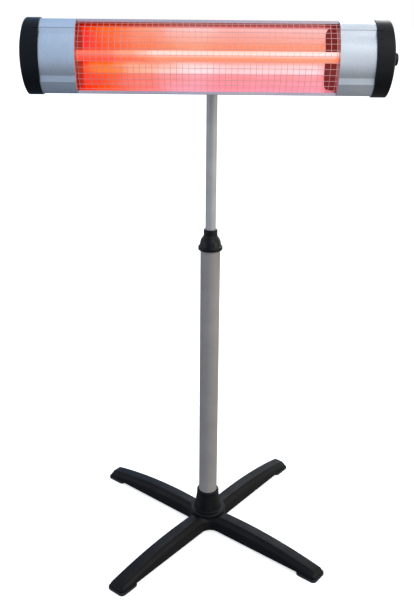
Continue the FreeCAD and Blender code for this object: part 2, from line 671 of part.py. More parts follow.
def cap_section(amount=0.0):
    """The head's section with one smooth front arc and rounded corners, grown by an amount."""
    steps = front_steps()
    smooth = [steps[0], ((-FRONT_BULGE, 0), (-SHOULDER_Y, -SHOULDER_Z)), steps[-1]]
    face = outline((0, HEAD_HALF), smooth + rear_steps(), yz)
    return face.makeOffset2D(-CAP_CORNER_R, 2).makeOffset2D(CAP_CORNER_R + amount, 0)


def front_section(amount=0.0):
    return grown(outline((0, HEAD_HALF), front_steps() + [(0, HEAD_HALF)], yz), amount)


def rear_section(amount=0.0):
    return grown(outline((0, -HEAD_HALF), rear_steps() + [(0, -HEAD_HALF)], yz), amount)


def on_head(shape):
    """Puts a shape made in the head's upright frame in its place on the stand."""
    placed = moved(shape, HEAD_X, -PIVOT_SETBACK, PIVOT_DROP)
    placed.rotate(ORIGIN, X, -FACE_UP_DEG)
    placed.translate(V(0, 0, PIVOT_Z))
    return placed


# ---------------------------------------------------------------- head shells
def rear_housing():
    ring = rear_section().cut(rear_section(-SHELL_WALL))
    shell = prism(ring, -CAP_START, CAP_START)
    mouth = HEAD_HALF - LIP
    shell = shell.cut(block((-CAP_START, -1, -mouth), (CAP_START, SHELL_WALL + 0.5, mouth)))
    slot = rounded_bar(9.0, 1.6, 1.5, -10, 10)
    slot.rotate(ORIGIN, X, 90)
    count = int((OPENING_HALF - SLOT_PITCH) / SLOT_PITCH)
    for row in SLOT_ROWS:
        for column in range(-count, count + 1):
            if abs(column) > 1:
                shell = shell.cut(moved(slot, column * SLOT_PITCH, REAR_DEPTH, row))
    inlet = V(GLAND_X, REAR_DEPTH - 10, GLAND_Z)
    shell = shell.cut(Part.makeCylinder(GLAND_THREAD_R + SLIP_GAP, 20, inlet, Y))
    for place in bracket_screw_places():
        shell = shell.cut(Part.makeCylinder(2.0 + SLIP_GAP, 20, place + V(0, -10, 0), Y))
    return shell


def side_panel():
    """Right-hand front panel with two recessed strips and a return at the mesh."""
    low, high = OPENING_HALF, CAP_START
    shell = prism(front_section().cut(front_section(-PANEL_WALL)), low, high)
    rim = prism(front_section().cut(front_section(-PANEL_RETURN)), low, low + PLATE)
    mouth = HEAD_HALF - LIP
    rim = rim.cut(block((low - 1, -PANEL_RETURN - 0.1, -mouth), (high + 1, 1, mouth)))
    shell = shell.cut(block((low - 1, -PANEL_WALL - 0.1, -mouth), (high + 1, 1, mouth)))
    shell = fuse([shell, rim])
    skin = prism(front_section().cut(front_section(-PANEL_STEP)), low, high)
    for sign in (-1, 1):
        near, far = sorted((sign * (STRIP_Z + 0.01), sign * (SHOULDER_Z - 0.01)))
        shell = shell.cut(skin.common(block((low - 1, -60, near), (high + 1, 1, far))))
    return shell


def cap_ball(inset):
    return Part.makeSphere(CAP_DOME_R - inset, V(CAP_CREST - CAP_DOME_R, 0, 0))


def on_dome(solid, edge):
    return any(isinstance(face.Surface, Part.Sphere) for face in solid.ancestorsOfType(edge, Part.Face))


def end_cap(with_knob):
    """Right-hand domed cap, hollow behind, with short ribs along its front edge."""
    high = CAP_CREST + 10
    outer = prism(cap_section(CAP_PROUD), CAP_START, high).common(cap_ball(0))
    crest = [edge for edge in outer.Edges if edge.BoundBox.XMin > CAP_START + 1 and on_dome(outer, edge)]
    outer = outer.makeFillet(CAP_EDGE_R, crest)
    inner = prism(cap_section(CAP_PROUD - CAP_WALL), CAP_START - 1, high).common(cap_ball(CAP_WALL))
    posts = [rod(CAP_BOSS_R, CAP_START, CAP_CREST, 0, sign * CAP_SCREW_Z) for sign in (-1, 1)]
    cap = fuse([outer.cut(inner)] + [post.common(outer) for post in posts])
    skin = prism(cap_section(CAP_PROUD).cut(cap_section(CAP_PROUD - 0.8)), CAP_START + 2.5,
                 CAP_START + CAP_RIB_LENGTH)
    count = int(SHOULDER_Z / CAP_RIB_PITCH)
    for i in range(-count, count + 1):
        level = i * CAP_RIB_PITCH
        cap = cap.cut(skin.common(block((0, -80, level - 0.8), (high, -STRIP_Y + 6, level + 0.8))))
    for sign in (-1, 1):
        cap = cap.cut(rod(CAP_SCREW_R + SLIP_GAP, 0, high, 0, sign * CAP_SCREW_Z))
        cap = cap.cut(rod(CAP_SCREW_HEAD_R + 0.4, cap_screw_seat(), high, 0, sign * CAP_SCREW_Z))
    if with_knob:
        cap = cap.cut(rod(KNOB_R + 1.5, KNOB_SEAT, high)).cut(rod(SWITCH_SHAFT_R + 0.4, 0, high))
    return cap


def cap_screw_seat():
    drop = CAP_DOME_R - math.sqrt(CAP_DOME_R ** 2 - CAP_SCREW_Z ** 2)
    return CAP_CREST - drop - 4.0


def cap_screws():
    seat = cap_screw_seat()
    one = along_x(screw(CAP_SCREW_R, CAP_SCREW_HEAD_R, 2.4, seat - BULKHEAD_IN + 3), seat)
    right = [moved(one, 0, 0, sign * CAP_SCREW_Z) for sign in (-1, 1)]
    return group(right + [mirrored_x(shape) for shape in right])


def inner_plate(low):
    """Sheet plate that fills the head's section inside its shells."""
    plate = prism(whole_section(-PANEL_WALL - PLATE_GAP), low, low + PLATE)
    notch = HEAD_HALF - LIP - PLATE_GAP
    top = block((low, -PANEL_WALL - PLATE_GAP, notch), (low + PLATE, SHELL_WALL + PLATE_GAP, HEAD_HALF))
    return plate.cut(top).cut(top.mirror(ORIGIN, Z))


def lead_hole():
    return rod(LEAD_R + 1.2, 0, 500, LEAD_Y, TUBE_Z)


def bulkhead():
    plate = inner_plate(BULKHEAD_IN)
    for sign in (-1, 1):
        plate = plate.cut(rod(CAP_SCREW_R + SLIP_GAP, 0, 500, 0, sign * CAP_SCREW_Z))
    return plate.cut(rod(6, 0, 500, 26, 0))


def chamber_wall():
    plate = inner_plate(WALL_IN).cut(rod(TUBE_R + 0.6, 0, 500, TUBE_Y, TUBE_Z)).cut(lead_hole())
    for place in holder_screw_places():
        plate = plate.cut(rod(1.6 + SLIP_GAP, 0, 500, place[0], place[1]))
    return plate


# ---------------------------------------------------------------- heating chamber
def trough(depth, half):
    """Section in front of the reflector's face: a flat back, rounded corners and leaning flanks."""
    flank, corner = half - REFLECTOR_LEAN, REFLECTOR_CORNER
    cut = corner * (1 - math.sqrt(0.5))
    return outline((-1.0, half), [
        (depth - corner, flank), ((depth - cut, flank - cut), (depth, flank - corner)),
        (depth, corner - flank), ((depth - cut, cut - flank), (depth - corner, -flank)),
        (-1.0, -half), (-1.0, half)], yz)


def reflector():
    sheet = trough(REFLECTOR_DEPTH, REFLECTOR_HALF_Z).cut(
        trough(REFLECTOR_DEPTH - REFLECTOR_SHEET, REFLECTOR_HALF_Z - REFLECTOR_SHEET))
    half = OPENING_HALF - 0.5
    lip_room = block((-half, -2, HEAD_HALF - LIP - 0.2), (half, SHELL_WALL + 0.2, HEAD_HALF))
    return prism(sheet, -half, half).cut(lip_room).cut(lip_room.mirror(ORIGIN, Z))


def reflector_end(flare):
    """Right-hand end plate, leaning inwards towards its back edge."""
    front, back = OPENING_HALF - 1.0, OPENING_HALF - 1.0 - flare
    deep = REFLECTOR_DEPTH
    sheet = outline((front, -1), [(back, deep), (back - 1.0, deep), (front - 1.0, -1), (front, -1)], xy)
    sheet = moved(sheet.extrude(V(0, 0, 2 * HEAD_HALF)), 0, 0, -HEAD_HALF)
    inside = trough(deep - REFLECTOR_SHEET - 0.05, REFLECTOR_HALF_Z - REFLECTOR_SHEET - 0.6)
    room = prism(inside, 0, front + 1)
    return sheet.common(room).cut(rod(TUBE_R + 0.8, 0, 500, TUBE_Y, TUBE_Z))


def quartz_tube():
    tube = rod(TUBE_R, -TUBE_END, TUBE_END, TUBE_Y, TUBE_Z)
    return tube.cut(rod(TUBE_R - TUBE_WALL, -TUBE_END, TUBE_END, TUBE_Y, TUBE_Z))


def heating_coil():
    end = TUBE_END - 4
    return rod(COIL_R, -end, end, TUBE_Y, TUBE_Z).cut(rod(COIL_R - 1.5, -end, end, TUBE_Y, TUBE_Z))


def holder_screw_places():
    shift = HOLDER_HALF - 4.0
    return [(TUBE_Y + side * shift, TUBE_Z + side * shift) for side in (-1, 1)]


def tube_holder():
    """Right-hand ceramic block that holds the end of the tube."""
    body = along_x(rounded_bar(HOLDER_HALF, HOLDER_HALF, 3, HOLDER_IN, HOLDER_OUT))
    body = moved(body, 0, TUBE_Y, TUBE_Z).cut(rod(TUBE_R + 0.1, 0, TUBE_END + 0.2, TUBE_Y, TUBE_Z))
    body = body.cut(rod(2.0, 0, 500, TUBE_Y, TUBE_Z))
    for place in holder_screw_places():
        body = body.cut(rod(1.6 + SLIP_GAP, 0, HOLDER_IN + 12, place[0], place[1]))
    return body


def holder_screws():
    """Screws from the chamber side, through the wall, into the ceramic holders."""
    one = along_x(screw(1.6, 3.0, 1.2, 10))
    one.rotate(ORIGIN, Z, 180)
    right = [moved(one, WALL_IN, *place) for place in holder_screw_places()]
    return group(right + [mirrored_x(shape) for shape in right])


# ---------------------------------------------------------------- mesh guard
def grille_point(angle, radius):
    return ARC_Y - radius * math.cos(angle), radius * math.sin(angle)


def grille_cross_wires():
    half = OPENING_HALF - 0.6
    wires = []
    for i in range(CROSS_WIRES):
        y, z = grille_point((i - (CROSS_WIRES - 1) / 2) * MESH_PITCH / GRILLE_R, GRILLE_R)
        wires.append(rod(WIRE_R, -half, half, y, z))
    return group(wires)


def grille_upright_wires():
    radius = GRILLE_R - 2 * WIRE_R - WELD_GAP
    reach = GRILLE_REACH
    centre = V(0, ARC_Y, 0)
    y, z = grille_point(-reach, radius)
    start = Part.Face(Part.Wire(Part.Circle(V(0, y, z), V(0, z, ARC_Y - y).normalize(), WIRE_R).toShape()))
    one = start.revolve(centre, -X, 2 * math.degrees(reach))
    return group([moved(one, (i - (UPRIGHT_WIRES - 1) / 2) * MESH_PITCH) for i in range(UPRIGHT_WIRES)])


def grille_rails():
    """Edge strips that the upright wires are welded to, screwed behind the housing's lips."""
    half = OPENING_HALF - 0.6
    top = block((-half, -RAIL_FRONT, RAIL_INNER), (half, -RAIL_BACK, RAIL_OUTER))
    return group([top, top.mirror(ORIGIN, Z)])


# ---------------------------------------------------------------- controls and wiring
def rotary_switch():
    back, half = CAP_START + SWITCH_DEPTH, SWITCH_HALF
    body = block((CAP_START, -half, -half), (back, half, half))
    nose = rod(5, back, back + 8)
    return fuse([body, nose]).cut(rod(SWITCH_SHAFT_R + RUN_GAP, CAP_START + 6, 500))


def knob_end():
    return CAP_CREST + KNOB_PROJECTION


def switch_shaft():
    return rod(SWITCH_SHAFT_R, CAP_START + 6.5, knob_end() - 5)


def power_knob():
    low = KNOB_SEAT + KNOB_GAP
    length = knob_end() - low
    body = turned((0, 0), (KNOB_R, 0), (KNOB_R, 3.5), (KNOB_R - 1.2, 4.5), (KNOB_R - 2.0, length - 2.5),
                  ((KNOB_R - 2.8, length - 0.8), (KNOB_R - 4.5, length)), (0, length))
    for i in range(20):
        groove = Part.makeCylinder(0.8, length, V(KNOB_R - 1.3, 0, 5.0))
        body = body.cut(turn_z(groove, 18 * i))
    body = body.cut(Part.makeCylinder(SWITCH_SHAFT_R + SLIP_GAP, length - 4.8))
    pointer = block((2.0, -0.8, length - 0.8), (KNOB_R - 5.5, 0.8, length + 1))
    return along_x(body.cut(pointer), low)


def thermal_cutout():
    """Bimetal cut-out on the left chamber wall."""
    at = V(-WALL_IN - PLATE - 0.1, -8, -30)
    return fuse([Part.makeCylinder(8, 6, at, -X), Part.makeCylinder(5, 11, at, -X),
                 block((at.x - 14, at.y - 5, at.z - 1), (at.x - 10, at.y + 5, at.z + 1))])


def tip_switch():
    """Sealed tilt switch that cuts the current when the heater falls over."""
    low = block((CAP_START - 40, -22, -52), (CAP_START - 10, 2, -30))
    return fuse([low, Part.makeCylinder(7, 5, V(CAP_START - 25, -10, -30))])


def terminal_block():
    low = block((WALL_IN + 6, 12, -46), (WALL_IN + 46, 26, -32))
    for i in range(3):
        low = low.cut(Part.makeCylinder(2.2, 8, V(WALL_IN + 13 + 13 * i, 4 + 2, -39), Y))
        low = low.cut(Part.makeCylinder(LEAD_R + 0.5, 20, V(WALL_IN + 13 + 13 * i, 19, -40)))
    return low


def bent_wire(points, radius, bend):
    """Round wire along straight runs joined by tangent arcs."""
    path, here = [], points[0]
    for before, corner, after in zip(points, points[1:], points[2:]):
        toward, away = (corner - before).normalize(), (after - corner).normalize()
        half = toward.getAngle(away) / 2
        reach = bend * math.tan(half)
        into, out = corner - toward * reach, corner + away * reach
        inward = (away - toward).normalize()
        middle = corner + inward * (bend / math.cos(half) - bend)
        path += [Part.LineSegment(here, into).toShape(), Part.Arc(into, middle, out).toShape()]
        here = out
    path.append(Part.LineSegment(here, points[-1]).toShape())
    ring = Part.Wire(Part.Circle(points[0], points[1] - points[0], radius).toShape())
    return Part.Wire(path).makePipeShell([ring], True, True)


def inner_leads():
    """Leads from both tube ends to the terminal block, the left one behind the reflector."""
    stud = HOLDER_OUT
    turn = stud + 14
    drop = -30.5
    left = [V(-stud, TUBE_Y, TUBE_Z), V(-turn, TUBE_Y, TUBE_Z), V(-turn, LEAD_Y, TUBE_Z),
            V(turn - 6, LEAD_Y, TUBE_Z), V(turn - 6, 22, TUBE_Z), V(turn - 6, 22, drop)]
    right = [V(stud, TUBE_Y, TUBE_Z), V(turn + 6, TUBE_Y, TUBE_Z), V(turn + 6, 16, TUBE_Z),
             V(turn + 6, 16, drop)]
    return group([bent_wire(left, LEAD_R, LEAD_BEND), bent_wire(right, LEAD_R, LEAD_BEND * 0.9)])


def gland_axis(shape):
    """Turns a shape made along +Z so that it points out of the back of the head."""
    laid = shape.copy()
    laid.rotate(ORIGIN, X, -90)
    laid.translate(V(GLAND_X, REAR_DEPTH, GLAND_Z))
    return laid


def cable_gland():
    body = fuse([hexagon(GLAND_HEX_FLATS, 5), Part.makeCylinder(GLAND_THREAD_R, 11, V(0, 0, -9)),
                 Part.makeCylinder(8.6, 9, V(0, 0, 5))])
    return gland_axis(body.cut(Part.makeCylinder(CABLE_R, 60, V(0, 0, -20))))


def gland_cap():
    body = turned((0, 5.2), (10.5, 5.2), (10.5, 13), ((9.0, 17.5), (6.0, 19)), (0, 19))
    body = body.cut(Part.makeCylinder(8.6 + SLIP_GAP, 8.9, V(0, 0, 5.2)))
    for i in range(12):
        body = body.cut(turn_z(Part.makeCylinder(1.0, 7, V(10.9, 0, 5.2)), 30 * i))
    return gland_axis(body.cut(Part.makeCylinder(CABLE_R, 60)))


def gland_nut():
    body = hexagon(GLAND_HEX_FLATS, 4.5, V(0, 0, -SHELL_WALL - 4.5))
    return gland_axis(body.cut(Part.makeCylinder(GLAND_THREAD_R + SLIP_GAP, 40, V(0, 0, -20))))


# ---------------------------------------------------------------- tilt bracket
def bracket_screw_places():
    return [V(BRACKET_X + i * (BRACKET_HALF_X - 7), REAR_DEPTH, -PIVOT_DROP + k * (BRACKET_HALF_Z - 8))
            for i in (-1, 1) for k in (-1, 1)]


def head_bracket():
    """U-shaped steel bracket on the back of the head, its two ears round the mast's eye."""
    low, centre = REAR_DEPTH, -PIVOT_DROP
    plate = rounded_bar(BRACKET_HALF_X, BRACKET_HALF_Z, 5, 0, BRACKET_SHEET)
    plate.rotate(ORIGIN, X, -90)
    plate.translate(V(0, low, centre))
    far = PIVOT_SETBACK
    ear = outline((low, centre - EAR_ROOT_HALF), [
        (low + 8, centre - EAR_ROOT_HALF), (far, centre - EAR_R),
        ((far + EAR_R, centre), (far, centre + EAR_R)), (low + 8, centre + EAR_ROOT_HALF),
        (low, centre + EAR_ROOT_HALF), (low, centre - EAR_ROOT_HALF)], yz)
    ears = [prism(ear, EAR_INNER, EAR_OUTER), prism(ear, -EAR_OUTER, -EAR_INNER)]
    body = fuse([plate] + ears).cut(rod(PIVOT_BOLT_R + RUN_GAP, -50, 50, far, centre))
    body = moved(body, BRACKET_X)
    for place in bracket_screw_places():
        body = body.cut(Part.makeCylinder(2.0 + SLIP_GAP, 20, place + V(0, -5, 0), Y))
    return body


def bracket_screws():
    one = screw(2.0, 3.8, 2.4, BRACKET_SHEET + SHELL_WALL + 3)
    one.rotate(ORIGIN, X, -90)
    return group([moved(one, place.x, place.y + BRACKET_SHEET, place.z) for place in bracket_screw_places()])


# ---------------------------------------------------------------- the whole part
def pair(name, right):
    """Saves a head piece and its mirror image as the right-hand and left-hand nodes."""
    save(name + "_right", on_head(right))
    save(name + "_left", on_head(mirrored_x(right)))


def main():
    os.makedirs("parts", exist_ok=True)
    save("base_cross", base_cross())
    for i, corner in enumerate(("rear_right", "rear_left", "front_left", "front_right")):
        save("foot_pad_" + corner, foot_pad(i))
    save("foot_screws", foot_screws())
    save("hub_socket", hub_socket())
    save("hub_screws", hub_screws())
    save("centre_washer", centre_washer())
    save("centre_bolt", centre_bolt())
    save("lower_tube", lower_tube())
    save("tube_plug", tube_plug())
    save("mast_rest", mast_rest())
    save("collar_seat", collar_seat())
    save("collet", collet())
    save("locking_collar", locking_collar())
    save("slide_bush", slide_bush())
    save("upper_tube", upper_tube())
    save("mast_stop_ring", mast_stop_ring())
    save("mast_end_plug", mast_end_plug())
    save("mast_head_fitting", mast_head_fitting())
    save("fitting_screw", fitting_screw())
    save("friction_washers", friction_washers())
    save("pivot_washers", pivot_washers())
    save("pivot_bolt", pivot_bolt())
    save("tilt_knob", tilt_knob())
    save("tilt_knob_insert", tilt_knob_insert())
    save("head_bracket", on_head(head_bracket()))
    save("bracket_screws", on_head(bracket_screws()))
    save("rear_housing", on_head(rear_housing()))
    pair("side_panel", side_panel())
    save("end_cap_right", on_head(end_cap(True)))
    save("end_cap_left", on_head(mirrored_x(end_cap(False))))
    save("cap_screws", on_head(cap_screws()))
    pair("bulkhead", bulkhead())
    pair("chamber_wall", chamber_wall())
    save("reflector", on_head(reflector()))
    save("reflector_end_right", on_head(reflector_end(END_FLARE_RIGHT)))
    save("reflector_end_left", on_head(mirrored_x(reflector_end(END_FLARE_LEFT))))
    save("quartz_tube", on_head(quartz_tube()))
    save("heating_coil", on_head(heating_coil()))
    pair("tube_holder", tube_holder())
    save("holder_screws", on_head(holder_screws()))
    save("grille_cross_wires", on_head(grille_cross_wires()))
    save("grille_upright_wires", on_head(grille_upright_wires()))
    save("grille_rails", on_head(grille_rails()))
    save("rotary_switch", on_head(rotary_switch()))
    save("switch_shaft", on_head(switch_shaft()))
    save("power_knob", on_head(power_knob()))
    save("thermal_cutout", on_head(thermal_cutout()))
    save("tip_switch", on_head(tip_switch()))
    save("terminal_block", on_head(terminal_block()))
    save("inner_leads", on_head(inner_leads()))
    save("cable_gland", on_head(cable_gland()))
    save("gland_cap", on_head(gland_cap()))
    save("gland_nut", on_head(gland_nut()))


main()
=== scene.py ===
"""Infrared bar heater on a telescopic stand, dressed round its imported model.

Metres, Z up. The heater faces -Y and its long head lies along X.
"""
import json
import logging
import math
from dataclasses import dataclass
from enum import Enum
from typing import Callable, Iterable, Optional, Sequence

import bmesh
import bpy
from mathutils import Matrix, Vector


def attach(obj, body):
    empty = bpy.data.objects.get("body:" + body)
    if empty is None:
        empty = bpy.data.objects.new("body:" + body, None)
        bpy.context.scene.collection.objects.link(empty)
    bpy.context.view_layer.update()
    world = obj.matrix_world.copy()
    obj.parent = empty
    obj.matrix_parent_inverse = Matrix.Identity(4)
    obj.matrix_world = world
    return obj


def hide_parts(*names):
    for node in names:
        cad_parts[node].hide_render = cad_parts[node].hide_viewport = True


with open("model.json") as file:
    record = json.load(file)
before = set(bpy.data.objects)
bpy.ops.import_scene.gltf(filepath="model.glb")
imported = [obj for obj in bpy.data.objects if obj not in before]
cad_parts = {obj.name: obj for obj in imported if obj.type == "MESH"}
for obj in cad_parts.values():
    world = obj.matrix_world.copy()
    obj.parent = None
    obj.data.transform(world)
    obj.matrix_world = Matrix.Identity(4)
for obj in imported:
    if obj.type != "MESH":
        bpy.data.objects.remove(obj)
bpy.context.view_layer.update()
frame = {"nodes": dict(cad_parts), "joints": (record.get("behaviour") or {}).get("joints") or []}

LOG = logging.getLogger("outdoor_heater")
MM = 0.001
WELD = 0.01 * MM  # points nearer than this, in the shape's own unit, become one
NEAR = 1e-3       # slack for finding an edge by its place, in the shape's own unit


# ---------------------------------------------------------------- colours and nodes
def linear(code: str) -> tuple[float, float, float, float]:
    """Turns an sRGB hex colour into the linear colour that a shader takes.

    Args:
        code: six hex digits, with or without a leading mark.

    Returns:
        Red, green, blue and a full alpha.
    """
    digits = code.lstrip("#")
    parts = [int(digits[i:i + 2], 16) / 255 for i in (0, 2, 4)]
    red, green, blue = (p / 12.92 if p <= 0.04045 else ((p + 0.055) / 1.055) ** 2.4 for p in parts)
    return red, green, blue, 1.0


def empty_tree(owner: bpy.types.Material | bpy.types.World) -> bpy.types.NodeTree:
    """Turns on the nodes of a material or world and clears them.

    Args:
        owner: the material or world.

    Returns:
        Its empty node tree.
    """
    owner.use_nodes = True
    owner.node_tree.nodes.clear()
    return owner.node_tree


def add_node(tree: bpy.types.NodeTree, kind: str, sockets: Optional[dict] = None,
             **settings) -> bpy.types.Node:
    """Adds one node with its settings, values and links.

    Args:
        tree: the node tree that it goes into.
        kind: the node's type name.
        sockets: input name or number to a value, or to an output socket to link from.
        settings: the node's own properties.

    Returns:
        The new node.
    """
    made = tree.nodes.new(kind)
    for name, value in settings.items():
        setattr(made, name, value)
    for name, value in (sockets or {}).items():
        if isinstance(value, bpy.types.NodeSocket):
            tree.links.new(value, made.inputs[name])
        else:
            made.inputs[name].default_value = value
    return made


def fill_ramp(ramp_node: bpy.types.Node, stops: Sequence[tuple[float, str]]) -> None:
    """Gives a colour ramp its stops.

    Args:
        ramp_node: the colour ramp node.
        stops: place from 0 to 1, and hex colour, in order.
    """
    ramp = ramp_node.color_ramp
    ramp.interpolation = "EASE"
    while len(ramp.elements) < len(stops):
        ramp.elements.new(1.0)
    for element, (place, code) in zip(ramp.elements, stops):
        element.position = place
        element.color = linear(code)


class Grain(Enum):
    """How the fine relief of a surface was made."""

    PEEL = "orange peel of a sprayed coat"
    SPARK = "spark-eroded mould texture"
    LINES = "fine lines of rolling or brushing"
    FLAKE = "metal flakes in a lacquer"


@dataclass(frozen=True)
class Finish:
    """A finish with soft patches of tone, a fine relief and a little wear.

    Sizes are in millimetres. stretch shortens the pattern's scale per axis, so lines run along
    the axis with the small number.
    """

    name: str
    tint: str
    shade: str
    wear: str
    roughness: float
    spread: float
    grain: Grain
    grain_mm: float
    relief_mm: float
    patch_mm: float = 60.0
    metallic: float = 0.0
    coat: float = 0.0
    coat_roughness: float = 0.15
    ior: float = 1.5
    wear_share: float = 0.1
    speck_share: float = 0.12
    stretch: tuple[float, float, float] = (1.0, 1.0, 1.0)

    def build(self) -> bpy.types.Material:
        """Makes the material once.

        Returns:
            The material, or the one that already has this name.
        """
        known = bpy.data.materials.get(self.name)
        if known:
            return known
        material = bpy.data.materials.new(self.name)
        tree = empty_tree(material)
        place = add_node(tree, "ShaderNodeTexCoord").outputs["Object"]
        drawn = add_node(tree, "ShaderNodeMapping", {"Vector": place,
                                                     "Scale": self.stretch}).outputs["Vector"]
        patches = add_node(tree, "ShaderNodeTexNoise",
                           {"Vector": place, "Scale": 1000 / self.patch_mm, "Detail": 4.0, "Roughness": 0.6})
        tone = add_node(tree, "ShaderNodeMapRange", {"Value": patches.outputs["Fac"], "From Min": 0.35,
                                                     "From Max": 0.65})
        colour = add_node(tree, "ShaderNodeMix", {"Factor": tone.outputs["Result"], "A": linear(self.tint),
                                                  "B": linear(self.shade)}, data_type="RGBA")
        colour = self.worn(tree, place, colour.outputs["Result"])
        height = self.relief(tree, drawn)
        if self.grain is Grain.FLAKE:
            colour = add_node(tree, "ShaderNodeMix", {"Factor": 0.16, "A": colour, "B": height},
                              data_type="RGBA", blend_type="OVERLAY").outputs["Result"]
        dull = add_node(tree, "ShaderNodeMapRange", {
            "Value": patches.outputs["Fac"], "From Min": 0.3, "From Max": 0.7,
            "To Min": self.roughness - self.spread, "To Max": self.roughness + self.spread})
        bump = add_node(tree, "ShaderNodeBump", {"Height": height, "Strength": 0.8,
                                                 "Distance": self.relief_mm * MM})
        shader = add_node(tree, "ShaderNodeBsdfPrincipled", {
            "Base Color": colour, "Metallic": self.metallic, "Roughness": dull.outputs["Result"],
            "IOR": self.ior, "Coat Weight": self.coat, "Coat Roughness": self.coat_roughness,
            "Normal": bump.outputs["Normal"]})
        add_node(tree, "ShaderNodeOutputMaterial", {"Surface": shader.outputs["BSDF"]})
        return material

    def worn(self, tree: bpy.types.NodeTree, place: bpy.types.NodeSocket,
             colour: bpy.types.NodeSocket) -> bpy.types.NodeSocket:
        """Adds sparse rubbed specks of the wear colour.

        Args:
            tree: the material's tree.
            place: the pattern's coordinates.
            colour: the colour under the wear.

        Returns:
            The colour with its wear.
        """
        speck_mm = self.patch_mm * self.speck_share
        specks = add_node(tree, "ShaderNodeTexNoise", {"Vector": place, "Scale": 1000 / speck_mm,
                                                       "Detail": 6.0, "Roughness": 0.7})
        rare = add_node(tree, "ShaderNodeMapRange", {"Value": specks.outputs["Fac"], "From Min": 0.6,
                                                     "From Max": 0.74, "To Max": self.wear_share})
        return add_node(tree, "ShaderNodeMix", {"Factor": rare.outputs["Result"], "A": colour,
                                                "B": linear(self.wear)},
                        data_type="RGBA").outputs["Result"]

    def relief(self, tree: bpy.types.NodeTree, drawn: bpy.types.NodeSocket) -> bpy.types.NodeSocket:
        """Draws the fine relief of this finish.

        Args:
            tree: the material's tree.
            drawn: the stretched coordinates.

        Returns:
            The height of the relief.
        """
        scale = 1000 / self.grain_mm
        if self.grain is Grain.FLAKE:
            cells = add_node(tree, "ShaderNodeTexVoronoi", {"Vector": drawn, "Scale": scale})
            return cells.outputs["Color"]
        detail = {Grain.PEEL: 1.0, Grain.SPARK: 5.0, Grain.LINES: 3.0}[self.grain]
        rough = {Grain.PEEL: 0.4, Grain.SPARK: 0.75, Grain.LINES: 0.6}[self.grain]
        noise = add_node(tree, "ShaderNodeTexNoise", {"Vector": drawn, "Scale": scale, "Detail": detail,
                                                      "Roughness": rough})
        return noise.outputs["Fac"]


# The head's own upright frame: where its middle lies, and how far it leans back.
HEAD_SHIFT = Vector((-10.6, -86.8, 3.0)) * MM
FACE_UP = math.radians(10.0)
PIVOT = Vector(next(j for j in frame["joints"] if j["name"] == "head_tilt")["pos_m"])
HEAD_PLACE = Matrix.Translation(PIVOT) @ Matrix.Rotation(-FACE_UP, 4, "X") @ Matrix.Translation(HEAD_SHIFT)


